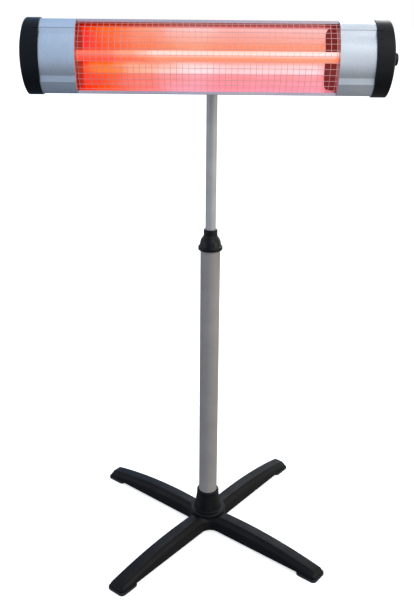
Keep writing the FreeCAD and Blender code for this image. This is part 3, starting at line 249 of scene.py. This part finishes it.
@dataclass(frozen=True)
class Glow:
    """A surface that emits: its own finish under a glow that changes along the head and up it. On the coil
    the glow is its real heat; on the reflector, end plates, quartz and guard wires it is painted light:
    painted glow, reflection and shade.

    along runs from the left end to the right end, and up from low_mm to high_mm in the head's own
    upright frame. The two are multiplied.
    """

    name: str
    base: str
    along: tuple[tuple[float, str], ...]
    strength: float
    roughness: float
    up: tuple[tuple[float, str], ...] = ((0.0, "#ffffff"), (1.0, "#ffffff"))
    low_mm: float = -72.0
    high_mm: float = 72.0
    half_mm: float = 274.0
    metallic: float = 0.0
    transmission: float = 0.0
    streak_mm: float = 3.0
    streak_depth: float = 0.15
    streak_stretch: float = 0.06
    streak_relief_mm: float = 0.03
    cloud_mm: float = 40.0
    cloud_shift: float = 0.04

    def build(self) -> bpy.types.Material:
        """Makes the material once.

        Returns:
            The material, or the one that already has this name.
        """
        known = bpy.data.materials.get(self.name)
        if known:
            return known
        material = bpy.data.materials.new(self.name)
        tree = empty_tree(material)
        place = add_node(tree, "ShaderNodeTexCoord").outputs["Object"]
        upright = add_node(tree, "ShaderNodeMapping", {
            "Vector": place, "Location": HEAD_PLACE.translation, "Rotation": (-FACE_UP, 0.0, 0.0)},
            vector_type="TEXTURE").outputs["Vector"]
        axes = add_node(tree, "ShaderNodeSeparateXYZ", {"Vector": upright})
        clouds = add_node(tree, "ShaderNodeTexNoise", {"Vector": upright, "Scale": 1000 / self.cloud_mm,
                                                    "Detail": 3.0})
        shift = add_node(tree, "ShaderNodeMapRange", {
            "Value": clouds.outputs["Fac"], "From Min": 0.25, "From Max": 0.75,
            "To Min": -self.cloud_shift, "To Max": self.cloud_shift})
        glow = None
        for axis, low, high, stops in (("X", -self.half_mm, self.half_mm, self.along),
                                       ("Z", self.low_mm, self.high_mm, self.up)):
            share = add_node(tree, "ShaderNodeMapRange", {"Value": axes.outputs[axis], "From Min": low * MM,
                                                          "From Max": high * MM}).outputs["Result"]
            if axis == "X":
                share = add_node(tree, "ShaderNodeMath", {0: share, 1: shift.outputs["Result"]},
                                 operation="ADD").outputs["Value"]
            ramp = add_node(tree, "ShaderNodeValToRGB", {"Fac": share})
            fill_ramp(ramp, stops)
            glow = ramp.outputs["Color"] if glow is None else add_node(
                tree, "ShaderNodeMix", {"Factor": 1.0, "A": glow, "B": ramp.outputs["Color"]},
                data_type="RGBA", blend_type="MULTIPLY").outputs["Result"]
        drawn = add_node(tree, "ShaderNodeMapping", {"Vector": upright,
                                                     "Scale": (self.streak_stretch, 1.0, 1.0)})
        streaks = add_node(tree, "ShaderNodeTexNoise", {
            "Vector": drawn.outputs["Vector"], "Scale": 1000 / self.streak_mm, "Detail": 3.0,
            "Roughness": 0.6})
        level = add_node(tree, "ShaderNodeMapRange", {
            "Value": streaks.outputs["Fac"], "From Min": 0.3, "From Max": 0.7,
            "To Min": 1.0 - self.streak_depth, "To Max": 1.0})
        # Emission colour: real heat glow on the coil; painted glow, highlight and shade on the reflector, end
        # plates, quartz and wires.
        hot_and_painted_glow = add_node(tree, "ShaderNodeVectorMath", {0: glow, "Scale": level.outputs["Result"]},
                        operation="SCALE")
        bump = add_node(tree, "ShaderNodeBump", {"Height": streaks.outputs["Fac"], "Strength": 0.5,
                                                 "Distance": self.streak_relief_mm * MM})
        dull = add_node(tree, "ShaderNodeMapRange", {
            "Value": clouds.outputs["Fac"], "To Min": self.roughness * 0.7, "To Max": self.roughness * 1.4})
        shader = add_node(tree, "ShaderNodeBsdfPrincipled", {
            "Base Color": linear(self.base), "Metallic": self.metallic, "Roughness": dull.outputs["Result"],
            "IOR": 1.46 if self.transmission else 1.5, "Transmission Weight": self.transmission,
            "Emission Color": hot_and_painted_glow.outputs["Vector"], "Emission Strength": self.strength,
            "Normal": bump.outputs["Normal"]})
        add_node(tree, "ShaderNodeOutputMaterial", {"Surface": shader.outputs["BSDF"]})
        return material


# Sprayed and baked coat on the moulded base: dark, softly shiny, with a faint orange peel.
BASE_COAT = Finish("black_powder_coat", "#0e0e10", "#0a0a0c", "#323135", 0.46, 0.08, Grain.PEEL, 2.2, 0.10,
                   ior=1.24)
# Moulded rubber: matt, a coarse mould grain and grey dust in it.
PAD_RUBBER = Finish("moulded_black_rubber", "#17171a", "#202023", "#4a4947", 0.82, 0.06, Grain.SPARK,
                    1.4, 0.09, wear_share=0.3)
# Silver grey powder coat on the steel pole: satin, fine peel, a warm tone.
POLE_COAT = Finish("warm_grey_powder_coat", "#96908d", "#8b8582", "#bdb8b4", 0.46, 0.05, Grain.PEEL,
                   1.8, 0.03, patch_mm=90, metallic=0.1, wear_share=0.12)
# The thinner mast wears a paler silver coat, with faint rub marks along it from sliding.
MAST_COAT = Finish("silver_powder_coat", "#aeaeab", "#a2a2a0", "#cbcbc8", 0.42, 0.05, Grain.PEEL, 1.8, 0.03,
                   patch_mm=70, metallic=0.15, wear_share=0.15)
# Moulded ABS with a fine spark texture: near black with a broad soft shine.
ABS = Finish("moulded_black_abs", "#08090c", "#0b0c10", "#2b2d33", 0.36, 0.06, Grain.SPARK, 1.1, 0.035,
             ior=1.3)
# Silver metallic lacquer on sheet steel: flakes that flicker, under a thin clear coat.
LACQUER = Finish("silver_metallic_lacquer", "#cfd4da", "#c4cad2", "#e6eaef", 0.32, 0.04, Grain.FLAKE,
                 1.3, 0.012, patch_mm=120, metallic=0.7, coat=0.35, wear_share=0.06)
# The housing's own lacquer: the same silver, a little duller, with a pink-lavender cast that is painted glow
# from the mouth on its lips.
HOUSING = Finish("silver_lacquer_painted_glow_tint", "#cbbcc4", "#c0b2ba", "#e0d6dc", 0.36, 0.05, Grain.FLAKE,
                 1.3, 0.012, patch_mm=120, metallic=0.6, coat=0.25, wear_share=0.06)
# Zinc-plated steel: bright with a dull grey cast and handling marks.
ZINC = Finish("zinc_plated_steel", "#b4b6b8", "#94969a", "#d8d9da", 0.34, 0.1, Grain.LINES, 0.8, 0.02,
              patch_mm=9, metallic=1.0)
# Moulded nylon inside the pole: dark grey and dull, slightly polished where it slides.
NYLON = Finish("moulded_nylon", "#3b3b3d", "#333335", "#5b5b5d", 0.55, 0.06, Grain.SPARK, 1.0, 0.03)
# Steel from the lathe: bright, with fine turning lines.
TURNED_STEEL = Finish("turned_steel", "#a9a9a8", "#8d8d8d", "#cfcfce", 0.3, 0.08, Grain.LINES, 0.7, 0.02,
                      patch_mm=12, metallic=1.0)
# Turned brass insert: a warm yellow glint inside the black knob.
BRASS = Finish("turned_brass", "#b8924e", "#9c7a3c", "#d8b878", 0.3, 0.08, Grain.LINES, 0.7, 0.02,
               patch_mm=10, metallic=1.0)
# Black coat on bent sheet: satin, a shade lighter than the plastic round it, with grey rubbed specks.
BRACKET_COAT = Finish("black_coated_steel_sheet", "#242428", "#1c1c20", "#66666a", 0.42, 0.08, Grain.PEEL,
                      1.8, 0.05)
# Plated sheet inside the head: cool metal with rolling lines that run up it.
SHEET = Finish("plated_sheet_steel", "#b0a9a7", "#938d8c", "#d0cac8", 0.4, 0.08, Grain.LINES, 1.0, 0.02,
               patch_mm=30, metallic=1.0, stretch=(1.0, 1.0, 0.1))
# Unglazed ceramic: chalky cream, dead matt.
CERAMIC = Finish("unglazed_ceramic", "#e4dccb", "#d3c9b4", "#b3a68f", 0.8, 0.06, Grain.SPARK, 1.2, 0.06)
# Moulded phenolic of the switches: brown-black with a low shine.
PHENOLIC = Finish("moulded_phenolic", "#1d1b1a", "#262322", "#4b4542", 0.45, 0.06, Grain.SPARK, 1.0, 0.03)
# Silicone sleeve on the leads: pale beige, soft and slightly dusty.
SILICONE = Finish("silicone_sleeve", "#cfc5ad", "#bdb39c", "#8f8672", 0.6, 0.05, Grain.SPARK, 1.0, 0.03)
# Mirror-polished aluminium with the coil's light painted on as emission: painted red glow where the tube
# ends, washed out to pink along the middle.
REFLECTOR_PAINTED_GLOW = Glow("polished_aluminium_painted_glow", "#5c463c", (
    (0.00, "#f02400"), (0.04, "#f25010"), (0.11, "#f47424"), (0.25, "#f3a68c"), (0.45, "#f3d4d9"),
    (0.58, "#f3c0c4"), (0.75, "#f3c6cc"), (0.93, "#f3ccd4"), (1.00, "#e09aa0")),
    # Up the head: a painted white reflection of the tube low on the back, and painted dark shade under the
    # top lip.
    1.25, 0.10, up=(
    (0.00, "#e490b0"), (0.06, "#f6b0c4"), (0.14, "#f6b2c2"), (0.20, "#f8acb4"), (0.27, "#f9b8c0"),
    (0.31, "#ffffff"), (0.39, "#fff4f0"), (0.46, "#fbc8b2"), (0.66, "#faac80"), (0.82, "#fac6b2"),
    (0.92, "#fae0d8"), (0.945, "#b86468"), (0.962, "#6c2830"), (1.00, "#38101a")), metallic=1.0)
# End plates of the trough: the same aluminium, turned from the coil, with a deep dark red painted glow.
END_PAINTED_GLOW = Glow("polished_aluminium_end_painted_glow", "#3c2826", (
    (0.0, "#8a2018"), (0.5, "#7a1a18"), (1.0, "#6a1416")), 1.0, 0.16, metallic=1.0)
# Fused quartz round the hot coil: clear glass with a painted glow, a painted white-pink highlight above and
# salmon shade below, and orange at its left end.
QUARTZ_PAINTED_GLOW = Glow("fused_quartz_painted_glow", "#b08478", (
    (0.00, "#d0502c"), (0.10, "#d85a34"), (0.20, "#d88868"), (0.33, "#dac2bc"), (0.60, "#dac0b8"),
    (0.97, "#dacccc"), (1.00, "#d8a8a0")), 1.0, 0.08, up=(
    (0.0, "#f0a078"), (0.28, "#f7a67a"), (0.50, "#fbd0c0"), (0.66, "#ffffff"), (1.0, "#fff0ee")),
    low_mm=-9.5, high_mm=13.5, transmission=0.5, streak_depth=0.1)
# Nickel-plated steel wire, dulled by heat, with the glow behind it painted on as emission: rose grey, and
# palest in front of the dark end plates.
WIRE_PAINTED_GLOW = Glow("nickel_plated_wire_painted_glow", "#b09490", (
    (0.00, "#8a4a40"), (0.06, "#a03c2c"), (0.25, "#a85848"), (0.45, "#a87470"), (1.00, "#a06c6c")),
    0.85, 0.34, metallic=0.6, streak_depth=0.3)
# Resistance wire at working heat: orange turns that show through the quartz.
COIL_GLOW = Glow("hot_resistance_wire", "#3a1c14", (
    (0.0, "#ff4a20"), (0.3, "#ff7a4a"), (1.0, "#ff7a4a")), 1.1, 0.5, metallic=0.8, streak_depth=0.3)


# ---------------------------------------------------------------- mesh helpers
def loft(around: int, rings: int, place: Callable[[int, int], Vector]) -> bmesh.types.BMesh:
    """Shapes a grid into a closed skin.

    Args:
        around: faces along the first direction.
        rings: faces along the second direction.
        place: gives the point for a step along and a ring.

    Returns:
        The skin, with its seam and poles closed and its faces pointing outwards.
    """
    skin = bmesh.new()
    bmesh.ops.create_grid(skin, x_segments=around, y_segments=rings, size=1.0)
    for vert in skin.verts:
        step = round((vert.co.x + 1) / 2 * around)
        ring = round((vert.co.y + 1) / 2 * rings)
        vert.co = place(step, ring)
    bmesh.ops.remove_doubles(skin, verts=skin.verts, dist=WELD)
    return skin


def finished(name: str, skin: bmesh.types.BMesh, matrix: Matrix, material: bpy.types.Material,
             smooth_deg: float = 35.0) -> bpy.types.Object:
    """Turns a bmesh into an object at the origin with its place in its mesh.

    Args:
        name: the piece's name.
        skin: the shape, freed here.
        matrix: puts the shape in the heater's frame.
        material: its finish.
        smooth_deg: edges sharper than this stay sharp.

    Returns:
        The new object.
    """
    bmesh.ops.transform(skin, matrix=matrix, verts=skin.verts)
    bmesh.ops.recalc_face_normals(skin, faces=skin.faces)
    limit = math.radians(smooth_deg)
    for face in skin.faces:
        face.smooth = True
    for edge in skin.edges:
        edge.smooth = len(edge.link_faces) == 2 and edge.calc_face_angle(0.0) < limit
    mesh = bpy.data.meshes.new(name)
    skin.to_mesh(mesh)
    skin.free()
    mesh.materials.append(material)
    made = bpy.data.objects.new(name, mesh)
    bpy.context.scene.collection.objects.link(made)
    LOG.info("%s: %d faces", name, len(mesh.polygons))
    return made


def seat(piece: bpy.types.Object, body: str, nodes: Iterable[str] = ()) -> bpy.types.Object:
    """Lets a piece ride on its body and stand for its CAD nodes.

    Args:
        piece: the finished piece.
        body: the body that it moves with.
        nodes: the CAD nodes that it stands for.

    Returns:
        The piece.
    """
    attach(piece, body)
    if nodes:
        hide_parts(*nodes)
    return piece


def dress(finish: Finish | Glow, *nodes: str) -> None:
    """Gives CAD nodes a finish.

    Args:
        finish: the finish.
        nodes: the nodes that wear it.
    """
    material = finish.build()
    for name in nodes:
        mesh = frame["nodes"][name].data
        mesh.materials.clear()
        mesh.materials.append(material)
        LOG.info("%s wears %s", name, material.name)


# ---------------------------------------------------------------- base
@dataclass
class Base:
    """Moulded cross of four hollow legs with its pads and hub. Sizes in millimetres."""

    reach: float = 360.0
    turn_deg: float = 51.5
    half_width: float = 24.0
    nose_radius: float = 11.0
    crotch_radius: float = 28.0
    nose_length: float = 9.0
    flange_radius: float = 48.0
    pad_start: float = 303.0
    foot_gap: float = 5.0
    pad_rise: float = 2.0
    shoulder_top: float = 34.0
    shoulder_fall: float = 18.0
    band_top: float = 46.0
    band_fall: float = 22.0
    arch: float = 40.0
    side_steps: int = 14
    arc_steps: int = 5
    boss_steps: int = 64

    # radius and height of the boss, from its underside to its top
    boss_profile: tuple[tuple[float, float], ...] = (
        (0, 8), (38, 8), (40.2, 5.4), (40.8, 6.0), (41.2, 30), (42.6, 38), (45.8, 45.6), (0, 45.6))

    # inset from the side, reach behind the nose, level, height over it
    rings: tuple[tuple[float, float, str, float], ...] = (
        (11.0, 14.0, "band", -6.0), (5.0, 8.0, "shoulder", -4.0), (3.2, 4.0, "skirt", 2.0),
        (3.0, 3.4, "skirt", 0.0), (0.7, 0.7, "skirt", 0.0), (0.0, 0.0, "skirt", 0.7),
        (0.4, 0.0, "mid", 0.0), (0.8, 0.2, "shoulder", -4.2), (1.2, 0.5, "shoulder", -2.2),
        (2.0, 1.0, "shoulder", -0.6), (3.2, 1.6, "shoulder", 0.6), (5.0, 2.8, "slope", 1.1),
        (6.8, 4.0, "slope", 1.1), (8.2, 5.0, "band", -3.3), (9.2, 5.7, "band", -3.5),
        (9.7, 6.1, "band", -3.2), (10.3, 6.7, "band", -1.1), (10.9, 7.3, "band", -0.3),
        (11.9, 8.4, "band", 0.0), (17.0, 14.0, "band", 0.2), (24.0, 22.0, "band", 0.3))

    def level(self, kind: str, reach: float, inset: float) -> float:
        """Height of one line of a leg at a distance from the pole axis.

        Args:
            kind: skirt, mid, shoulder, slope or band.
            reach: distance from the pole axis.
            inset: how far inside the leg's side the line runs.

        Returns:
            The height in millimetres.
        """
        tip = self.reach - self.nose_length
        share = min(1.0, max(0.0, (reach - self.flange_radius) / (tip - self.flange_radius)))
        drop = max(0.0, (reach - tip) / self.nose_length) ** 1.3
        bulge = self.arch * share * (1 - share)
        rise = min(1.0, max(0.0, reach - self.flange_radius) / (self.pad_start - self.flange_radius))
        skirt = self.foot_gap + self.pad_rise * rise
        shoulder = self.shoulder_top - self.shoulder_fall * share + bulge - 6.5 * drop
        band = self.band_top - self.band_fall * share + bulge - 12.0 * drop
        slope = shoulder + (band - 1.8 - shoulder) * (inset - 3) / 7
        return {"skirt": skirt, "mid": (skirt + shoulder) / 2, "shoulder": shoulder, "slope": slope,
                "band": band}[kind]

    def quarter(self, inset: float, back: float) -> list[Vector]:
        """Outline of one leg from crotch to crotch, seen from above.

        Args:
            inset: how far inside the leg's side it runs.
            back: how far behind the nose it turns.

        Returns:
            Its points, in order.
        """
        half, corner = self.half_width - inset, max(self.nose_radius - inset, 0.05)
        centre, fillet = self.half_width + self.crotch_radius, self.crotch_radius + inset
        far = self.reach - back - corner
        lower = []
        for i in range(self.arc_steps + 1):
            angle = math.radians(135 - 45 * i / self.arc_steps)
            lower.append(Vector((centre + fillet * math.cos(angle), -centre + fillet * math.sin(angle), 0)))
        for i in range(1, self.side_steps + 1):
            lower.append(Vector((centre + (far - centre) * i / self.side_steps, -half, 0)))
        for i in range(1, self.arc_steps + 1):
            angle = math.radians(-90 + 90 * i / self.arc_steps)
            lower.append(Vector((far + corner * math.cos(angle),
                                 -half + corner + corner * math.sin(angle), 0)))
        upper = [Vector((p.x, -p.y, 0)) for p in reversed(lower)]
        return lower + upper[:-1]

    def cross(self) -> bmesh.types.BMesh:
        """Lofts the cross from its rings, all four legs in one skin.

        Returns:
            The closed skin, in millimetres.
        """
        table = []
        for inset, back, kind, rise in self.rings:
            leg = self.quarter(inset, back)
            for point in leg:
                point.z = self.level(kind, point.x, inset) + rise
            table.append([Matrix.Rotation(math.radians(90 * k), 3, "Z") @ p for k in range(4) for p in leg])
        count = len(table[0])
        skin = loft(count, len(table) - 1, lambda step, ring: table[ring][step % count])
        bmesh.ops.holes_fill(skin, edges=[e for e in skin.edges if e.is_boundary], sides=0)
        return skin

    def hub(self) -> bmesh.types.BMesh:
        """Turns the round boss under the socket's flange.

        Returns:
            The closed skin, in millimetres.
        """
        around, profile = self.boss_steps, self.boss_profile
        return loft(around, len(profile) - 1, lambda step, ring: Matrix.Rotation(
            2 * math.pi * (step % around) / around, 3, "Z") @ Vector((profile[ring][0], 0, profile[ring][1])))

    def build(self) -> None:
        """Builds and dresses everything of the base."""
        scale = Matrix.Scale(MM, 4)
        turn = Matrix.Rotation(math.radians(self.turn_deg), 4, "Z")
        coat = BASE_COAT.build()
        cross = self.cross()
        hub_mesh = bpy.data.meshes.new("hub_boss")
        hub = self.hub()
        hub.to_mesh(hub_mesh)
        hub.free()
        cross.from_mesh(hub_mesh)
        seat(finished("cross_moulding", cross, turn @ scale, coat), "stand",
             ["base_cross"])
        dress(BASE_COAT, "hub_socket")
        corners = ("front_right", "front_left", "rear_left", "rear_right")
        dress(PAD_RUBBER, *(f"foot_pad_{place}" for place in corners))
        dress(ZINC, "foot_screws", "hub_screws", "centre_bolt", "centre_washer")


# ---------------------------------------------------------------- pole and collar
@dataclass
class Stand:
    """The pole, the mast and the joints between them."""

    def build(self) -> None:
        """Dresses the tubes, the collar and the tilt joint."""
        dress(POLE_COAT, "lower_tube")
        dress(MAST_COAT, "upper_tube")
        dress(ABS, "locking_collar", "mast_head_fitting", "tilt_knob")
        dress(NYLON, "slide_bush", "collet", "collar_seat", "tube_plug", "mast_rest", "mast_end_plug",
              "friction_washers")
        dress(TURNED_STEEL, "mast_stop_ring")
        dress(BRASS, "tilt_knob_insert")
        dress(ZINC, "fitting_screw", "pivot_washers", "pivot_bolt")
        dress(BRACKET_COAT, "head_bracket")


# ---------------------------------------------------------------- head
@dataclass
class Head:
    """The long head with its heating chamber. Sizes in millimetres, in the head's upright frame."""

    opening_half: float = 273.0
    tube_y: float = 2.0
    tube_z: float = 2.0
    tube_end: float = 292.4
    coil_radius: float = 6.5
    coil_wire: float = 0.9
    coil_pitch: float = 4.2
    coil_inset: float = 8.0
    coil_steps: int = 14
    lip_half: float = 70.5
    back_half: float = 60.6
    reflector_depth: float = 31.0
    reflector_corner: float = 10.0
    reflector_sheet: float = 0.8
    grille_radius: float = 82.28
    grille_centre: float = 39.78
    mesh_pitch: float = 12.7
    wire_radius: float = 0.5
    cross_wires: int = 13
    upright_wires: int = 43
    rail_inner: float = 69.3
    wire_inset: float = 0.6
    layer_gap: float = 0.02
    weld_share: float = 1.25

    def coil(self) -> bmesh.types.BMesh:
        """Winds the heating coil by spinning a wire section along the tube.

        Returns:
            The coil, in millimetres.
        """
        skin = bmesh.new()
        section = bmesh.ops.create_circle(skin, cap_ends=False, segments=6, radius=self.coil_wire)
        start = -self.tube_end + self.coil_inset
        lay = Matrix.Translation((start, self.tube_y, self.tube_z + self.coil_radius))
        turn = lay @ Matrix.Rotation(math.radians(90), 4, "X")
        bmesh.ops.transform(skin, matrix=turn, verts=section["verts"])
        turns = int(2 * (self.tube_end - self.coil_inset) / self.coil_pitch)
        steps = self.coil_steps
        bmesh.ops.spin(skin, geom=skin.edges[:], cent=(0, self.tube_y, self.tube_z), axis=(1, 0, 0),
                       dvec=(self.coil_pitch / steps, 0, 0), angle=math.tau * turns, steps=turns * steps,
                       use_merge=False)
        return skin

    def reflector(self) -> bmesh.types.BMesh:
        """Folds the reflector from one long edge: flank, flat back, flank, with rounded corners.

        Returns:
            The sheet with its thickness, in millimetres.
        """
        long = self.opening_half - 0.5
        skin = bmesh.new()
        line = [skin.verts.new((x, -1.6, self.lip_half + 1.2)) for x in (-long, long)]
        edge = skin.edges.new(line)
        for y, z in ((-1.0, self.lip_half), (self.reflector_depth, self.back_half),
                     (self.reflector_depth, -self.back_half), (-1.0, -self.lip_half),
                     (-1.6, -self.lip_half - 1.2)):
            folded = bmesh.ops.extrude_edge_only(skin, edges=[edge])["geom"]
            for vert in (g for g in folded if isinstance(g, bmesh.types.BMVert)):
                vert.co.y, vert.co.z = y, z
            edge = next(g for g in folded if isinstance(g, bmesh.types.BMEdge)
                        and all(abs(v.co.y - y) + abs(v.co.z - z) < NEAR for v in g.verts))
        corners = [e for e in skin.edges if all(v.co.y > self.reflector_depth - NEAR for v in e.verts)
                   and abs(e.verts[0].co.z - e.verts[1].co.z) < NEAR]
        bmesh.ops.bevel(skin, geom=corners, offset=self.reflector_corner, offset_type="OFFSET", segments=10,
                        profile=0.5, affect="EDGES", material=-1)
        bmesh.ops.recalc_face_normals(skin, faces=skin.faces)
        bmesh.ops.solidify(skin, geom=skin.faces[:], thickness=self.reflector_sheet)
        return skin

    def wires(self) -> tuple[bmesh.types.BMesh, bmesh.types.BMesh]:
        """Draws the guard's straight wires and its bowed ones with a weld at each crossing.

        Returns:
            The cross wires, and the upright wires with the welds.
        """
        flat, bowed = bmesh.new(), bmesh.new()
        half = self.opening_half - self.wire_inset
        angles = [(i - (self.cross_wires - 1) / 2) * self.mesh_pitch / self.grille_radius
                  for i in range(self.cross_wires)]
        lay = Matrix.Rotation(math.radians(90), 4, "Y")
        for angle in angles:
            spot = (0, self.grille_centre - self.grille_radius * math.cos(angle),
                    self.grille_radius * math.sin(angle))
            bmesh.ops.create_cone(flat, cap_ends=True, segments=8, radius1=self.wire_radius,
                                  radius2=self.wire_radius, depth=2 * half,
                                  matrix=Matrix.Translation(spot) @ lay)
        radius = self.grille_radius - 2 * self.wire_radius - self.layer_gap
        reach = math.asin((self.rail_inner - self.wire_radius) / radius)
        start = Matrix.Translation((0, self.grille_centre - radius * math.cos(reach),
                                    -radius * math.sin(reach)))
        section = bmesh.ops.create_circle(bowed, segments=6, radius=self.wire_radius,
                                          matrix=start @ Matrix.Rotation(-reach, 4, "X"))
        bmesh.ops.spin(bowed, geom=section["verts"] + bowed.edges[:], cent=(0, self.grille_centre, 0),
                       axis=(-1, 0, 0), angle=2 * reach, steps=20, use_merge=False)
        for angle in angles:
            middle = radius + self.wire_radius
            spot = (0, self.grille_centre - middle * math.cos(angle), middle * math.sin(angle))
            if abs(angle) < reach:
                bmesh.ops.create_icosphere(bowed, subdivisions=1, radius=self.wire_radius * self.weld_share,
                                           matrix=Matrix.Translation(spot))
        one = bpy.data.meshes.new("upright_wire")
        bowed.to_mesh(one)
        bowed.clear()
        for i in range(self.upright_wires):
            before = len(bowed.verts)
            bowed.from_mesh(one)
            bowed.verts.ensure_lookup_table()
            shift = (i - (self.upright_wires - 1) / 2) * self.mesh_pitch
            bmesh.ops.translate(bowed, vec=(shift, 0, 0), verts=bowed.verts[before:])
        return flat, bowed

    def build(self) -> None:
        """Builds and dresses everything of the head."""
        matrix = HEAD_PLACE @ Matrix.Scale(MM, 4)
        seat(finished("wound_coil", self.coil(), matrix, COIL_GLOW.build(), 60), "head",
             ["heating_coil"])
        seat(finished("reflector_trough", self.reflector(), matrix, REFLECTOR_PAINTED_GLOW.build(), 30), "head",
             ["reflector"])
        flat, bowed = self.wires()
        wire = WIRE_PAINTED_GLOW.build()
        seat(finished("guard_cross_wires", flat, matrix, wire, 50), "head",
             ["grille_cross_wires"])
        seat(finished("guard_bowed_wires", bowed, matrix, wire, 50), "head",
             ["grille_upright_wires"])
        dress(LACQUER, "side_panel_right", "side_panel_left")
        dress(HOUSING, "rear_housing", "grille_rails")
        dress(ABS, "end_cap_right", "end_cap_left", "power_knob", "cable_gland", "gland_cap", "gland_nut")
        dress(SHEET, "bulkhead_right", "bulkhead_left", "chamber_wall_right", "chamber_wall_left")
        dress(END_PAINTED_GLOW, "reflector_end_right", "reflector_end_left")
        dress(QUARTZ_PAINTED_GLOW, "quartz_tube")
        dress(CERAMIC, "tube_holder_right", "tube_holder_left", "terminal_block")
        dress(PHENOLIC, "rotary_switch", "thermal_cutout", "tip_switch")
        dress(TURNED_STEEL, "switch_shaft")
        dress(SILICONE, "inner_leads")
        dress(ZINC, "bracket_screws", "cap_screws", "holder_screws")


# ---------------------------------------------------------------- studio
@dataclass(frozen=True)
class Lamp:
    """A soft rectangular light that points at the heater."""

    name: str
    place: tuple[float, float, float]
    target: tuple[float, float, float]
    size: float
    watts: float
    colour: str

    def build(self) -> None:
        """Makes the light."""
        data = bpy.data.lights.new(self.name, "AREA")
        data.shape, data.size, data.energy = "SQUARE", self.size, self.watts
        data.color = linear(self.colour)[:3]
        lamp = bpy.data.objects.new(self.name, data)
        lamp.location = self.place
        aim = Vector(self.target) - Vector(self.place)
        lamp.rotation_euler = aim.to_track_quat("-Z", "Y").to_euler()
        bpy.context.scene.collection.objects.link(lamp)


@dataclass
class Studio:
    """Pale floor and backdrop, soft lights, and the camera."""

    lens_mm: float = 47.307
    sensor_mm: float = 36.0
    place: tuple[float, float, float] = (-0.0014, -1.8126, 1.3787)
    pitch: float = 0.3766
    yaw: float = -0.0031
    roll: float = 0.0094
    lamps: tuple[Lamp, ...] = (
        Lamp("key_light", (1.9, -2.0, 2.9), (0.0, 0.0, 0.9), 1.6, 18, "#fffaf3"),
        Lamp("right_light", (2.7, -1.3, 0.9), (0.0, 0.0, 0.8), 1.4, 17, "#fff6ec"),
        Lamp("left_light", (-2.8, -1.0, 0.9), (0.0, 0.0, 0.8), 1.4, 9, "#f4f2f2"),
        Lamp("back_light", (0.5, 2.4, 2.6), (0.0, 0.0, 0.8), 1.6, 26, "#f5f8ff"))

    def camera(self) -> None:
        """Places the camera."""
        data = bpy.data.cameras.new("camera")
        data.sensor_width = self.sensor_mm
        data.lens = self.lens_mm
        made = bpy.data.objects.new("camera", data)
        cos_p, sin_p, cos_y, sin_y = (math.cos(self.pitch), math.sin(self.pitch), math.cos(self.yaw),
                                      math.sin(self.yaw))
        forward = Vector((sin_y * cos_p, cos_y * cos_p, -sin_p))
        right = Vector((cos_y, -sin_y, 0))
        up = right.cross(forward)
        cos_r, sin_r = math.cos(self.roll), math.sin(self.roll)
        x_axis, y_axis = cos_r * right + sin_r * up, cos_r * up - sin_r * right
        made.matrix_world = Matrix.Translation(self.place) @ Matrix(
            (x_axis, y_axis, -forward)).transposed().to_4x4()
        bpy.context.scene.collection.objects.link(made)
        bpy.context.scene.camera = made

    def backdrop(self) -> None:
        """Makes the floor and the dome round it, which only the camera sees."""
        for name, pale in (("floor", 0.62), ("dome", 1.0)):
            material = bpy.data.materials.new("pale_" + name)
            tree = empty_tree(material)
            grey = (0.8, 0.8, 0.8, 1.0) if name == "floor" else (0.0, 0.0, 0.0, 1.0)
            shader = add_node(tree, "ShaderNodeBsdfPrincipled", {
                "Base Color": grey, "Roughness": 0.9, "Specular IOR Level": 0.0,
                "Emission Color": (pale, pale, pale, 1.0), "Emission Strength": 1.0})
            add_node(tree, "ShaderNodeOutputMaterial", {"Surface": shader.outputs["BSDF"]})
            skin = bmesh.new()
            if name == "floor":
                bmesh.ops.create_circle(skin, cap_ends=True, segments=64, radius=30.0)
            else:
                bmesh.ops.create_uvsphere(skin, u_segments=48, v_segments=24, radius=32.0)
            made = finished(name, skin, Matrix.Identity(4), material)
            made.visible_diffuse = made.visible_glossy = made.visible_transmission = False
            made.visible_shadow = False

    def world(self) -> None:
        """Lights the room: bright above, dim below, with a cool left and a warm right."""
        world = bpy.data.worlds.new("studio")
        bpy.context.scene.world = world
        tree = empty_tree(world)
        axes = add_node(tree, "ShaderNodeSeparateXYZ",
                        {"Vector": add_node(tree, "ShaderNodeTexCoord").outputs["Generated"]})
        rise = add_node(tree, "ShaderNodeMapRange", {"Value": axes.outputs["Z"], "From Min": -1.0})
        height = add_node(tree, "ShaderNodeValToRGB", {"Fac": rise.outputs["Result"]})
        fill_ramp(height, ((0.0, "#8c8c8c"), (0.2, "#767676"), (0.36, "#b0b1b2"), (0.48, "#dedfe1"),
                           (0.75, "#e6e9ec"), (1.0, "#ffffff")))
        side = add_node(tree, "ShaderNodeMapRange", {"Value": axes.outputs["X"], "From Min": -1.0,
                                                     "From Max": 1.0})
        tint = add_node(tree, "ShaderNodeValToRGB", {"Fac": side.outputs["Result"]})
        fill_ramp(tint, ((0.0, "#dcdee2"), (0.28, "#b0c0d4"), (0.39, "#88aedc"), (0.5, "#cde0f4"),
                         (0.61, "#fffdfa"), (1.0, "#fffdfa")))
        both = add_node(tree, "ShaderNodeMix", {"Factor": 1.0, "A": height.outputs["Color"],
                                                "B": tint.outputs["Color"]},
                        data_type="RGBA", blend_type="MULTIPLY")
        sky = add_node(tree, "ShaderNodeBackground", {"Color": both.outputs["Result"], "Strength": 1.36})
        add_node(tree, "ShaderNodeOutputWorld", {"Surface": sky.outputs["Background"]})

    def build(self) -> None:
        """Sets up the whole studio."""
        bpy.context.scene.view_settings.view_transform = "Standard"
        self.world()
        self.backdrop()
        for lamp in self.lamps:
            lamp.build()
        self.camera()


def main() -> None:
    """Builds the heater's sub-assemblies and the studio, in order."""
    logging.basicConfig(level=logging.INFO, format="%(message)s")
    for assembly in (Base(), Stand(), Head(), Studio()):
        LOG.info("building %s", type(assembly).__name__)
        assembly.build()


if __name__ == "__main__":
    main()
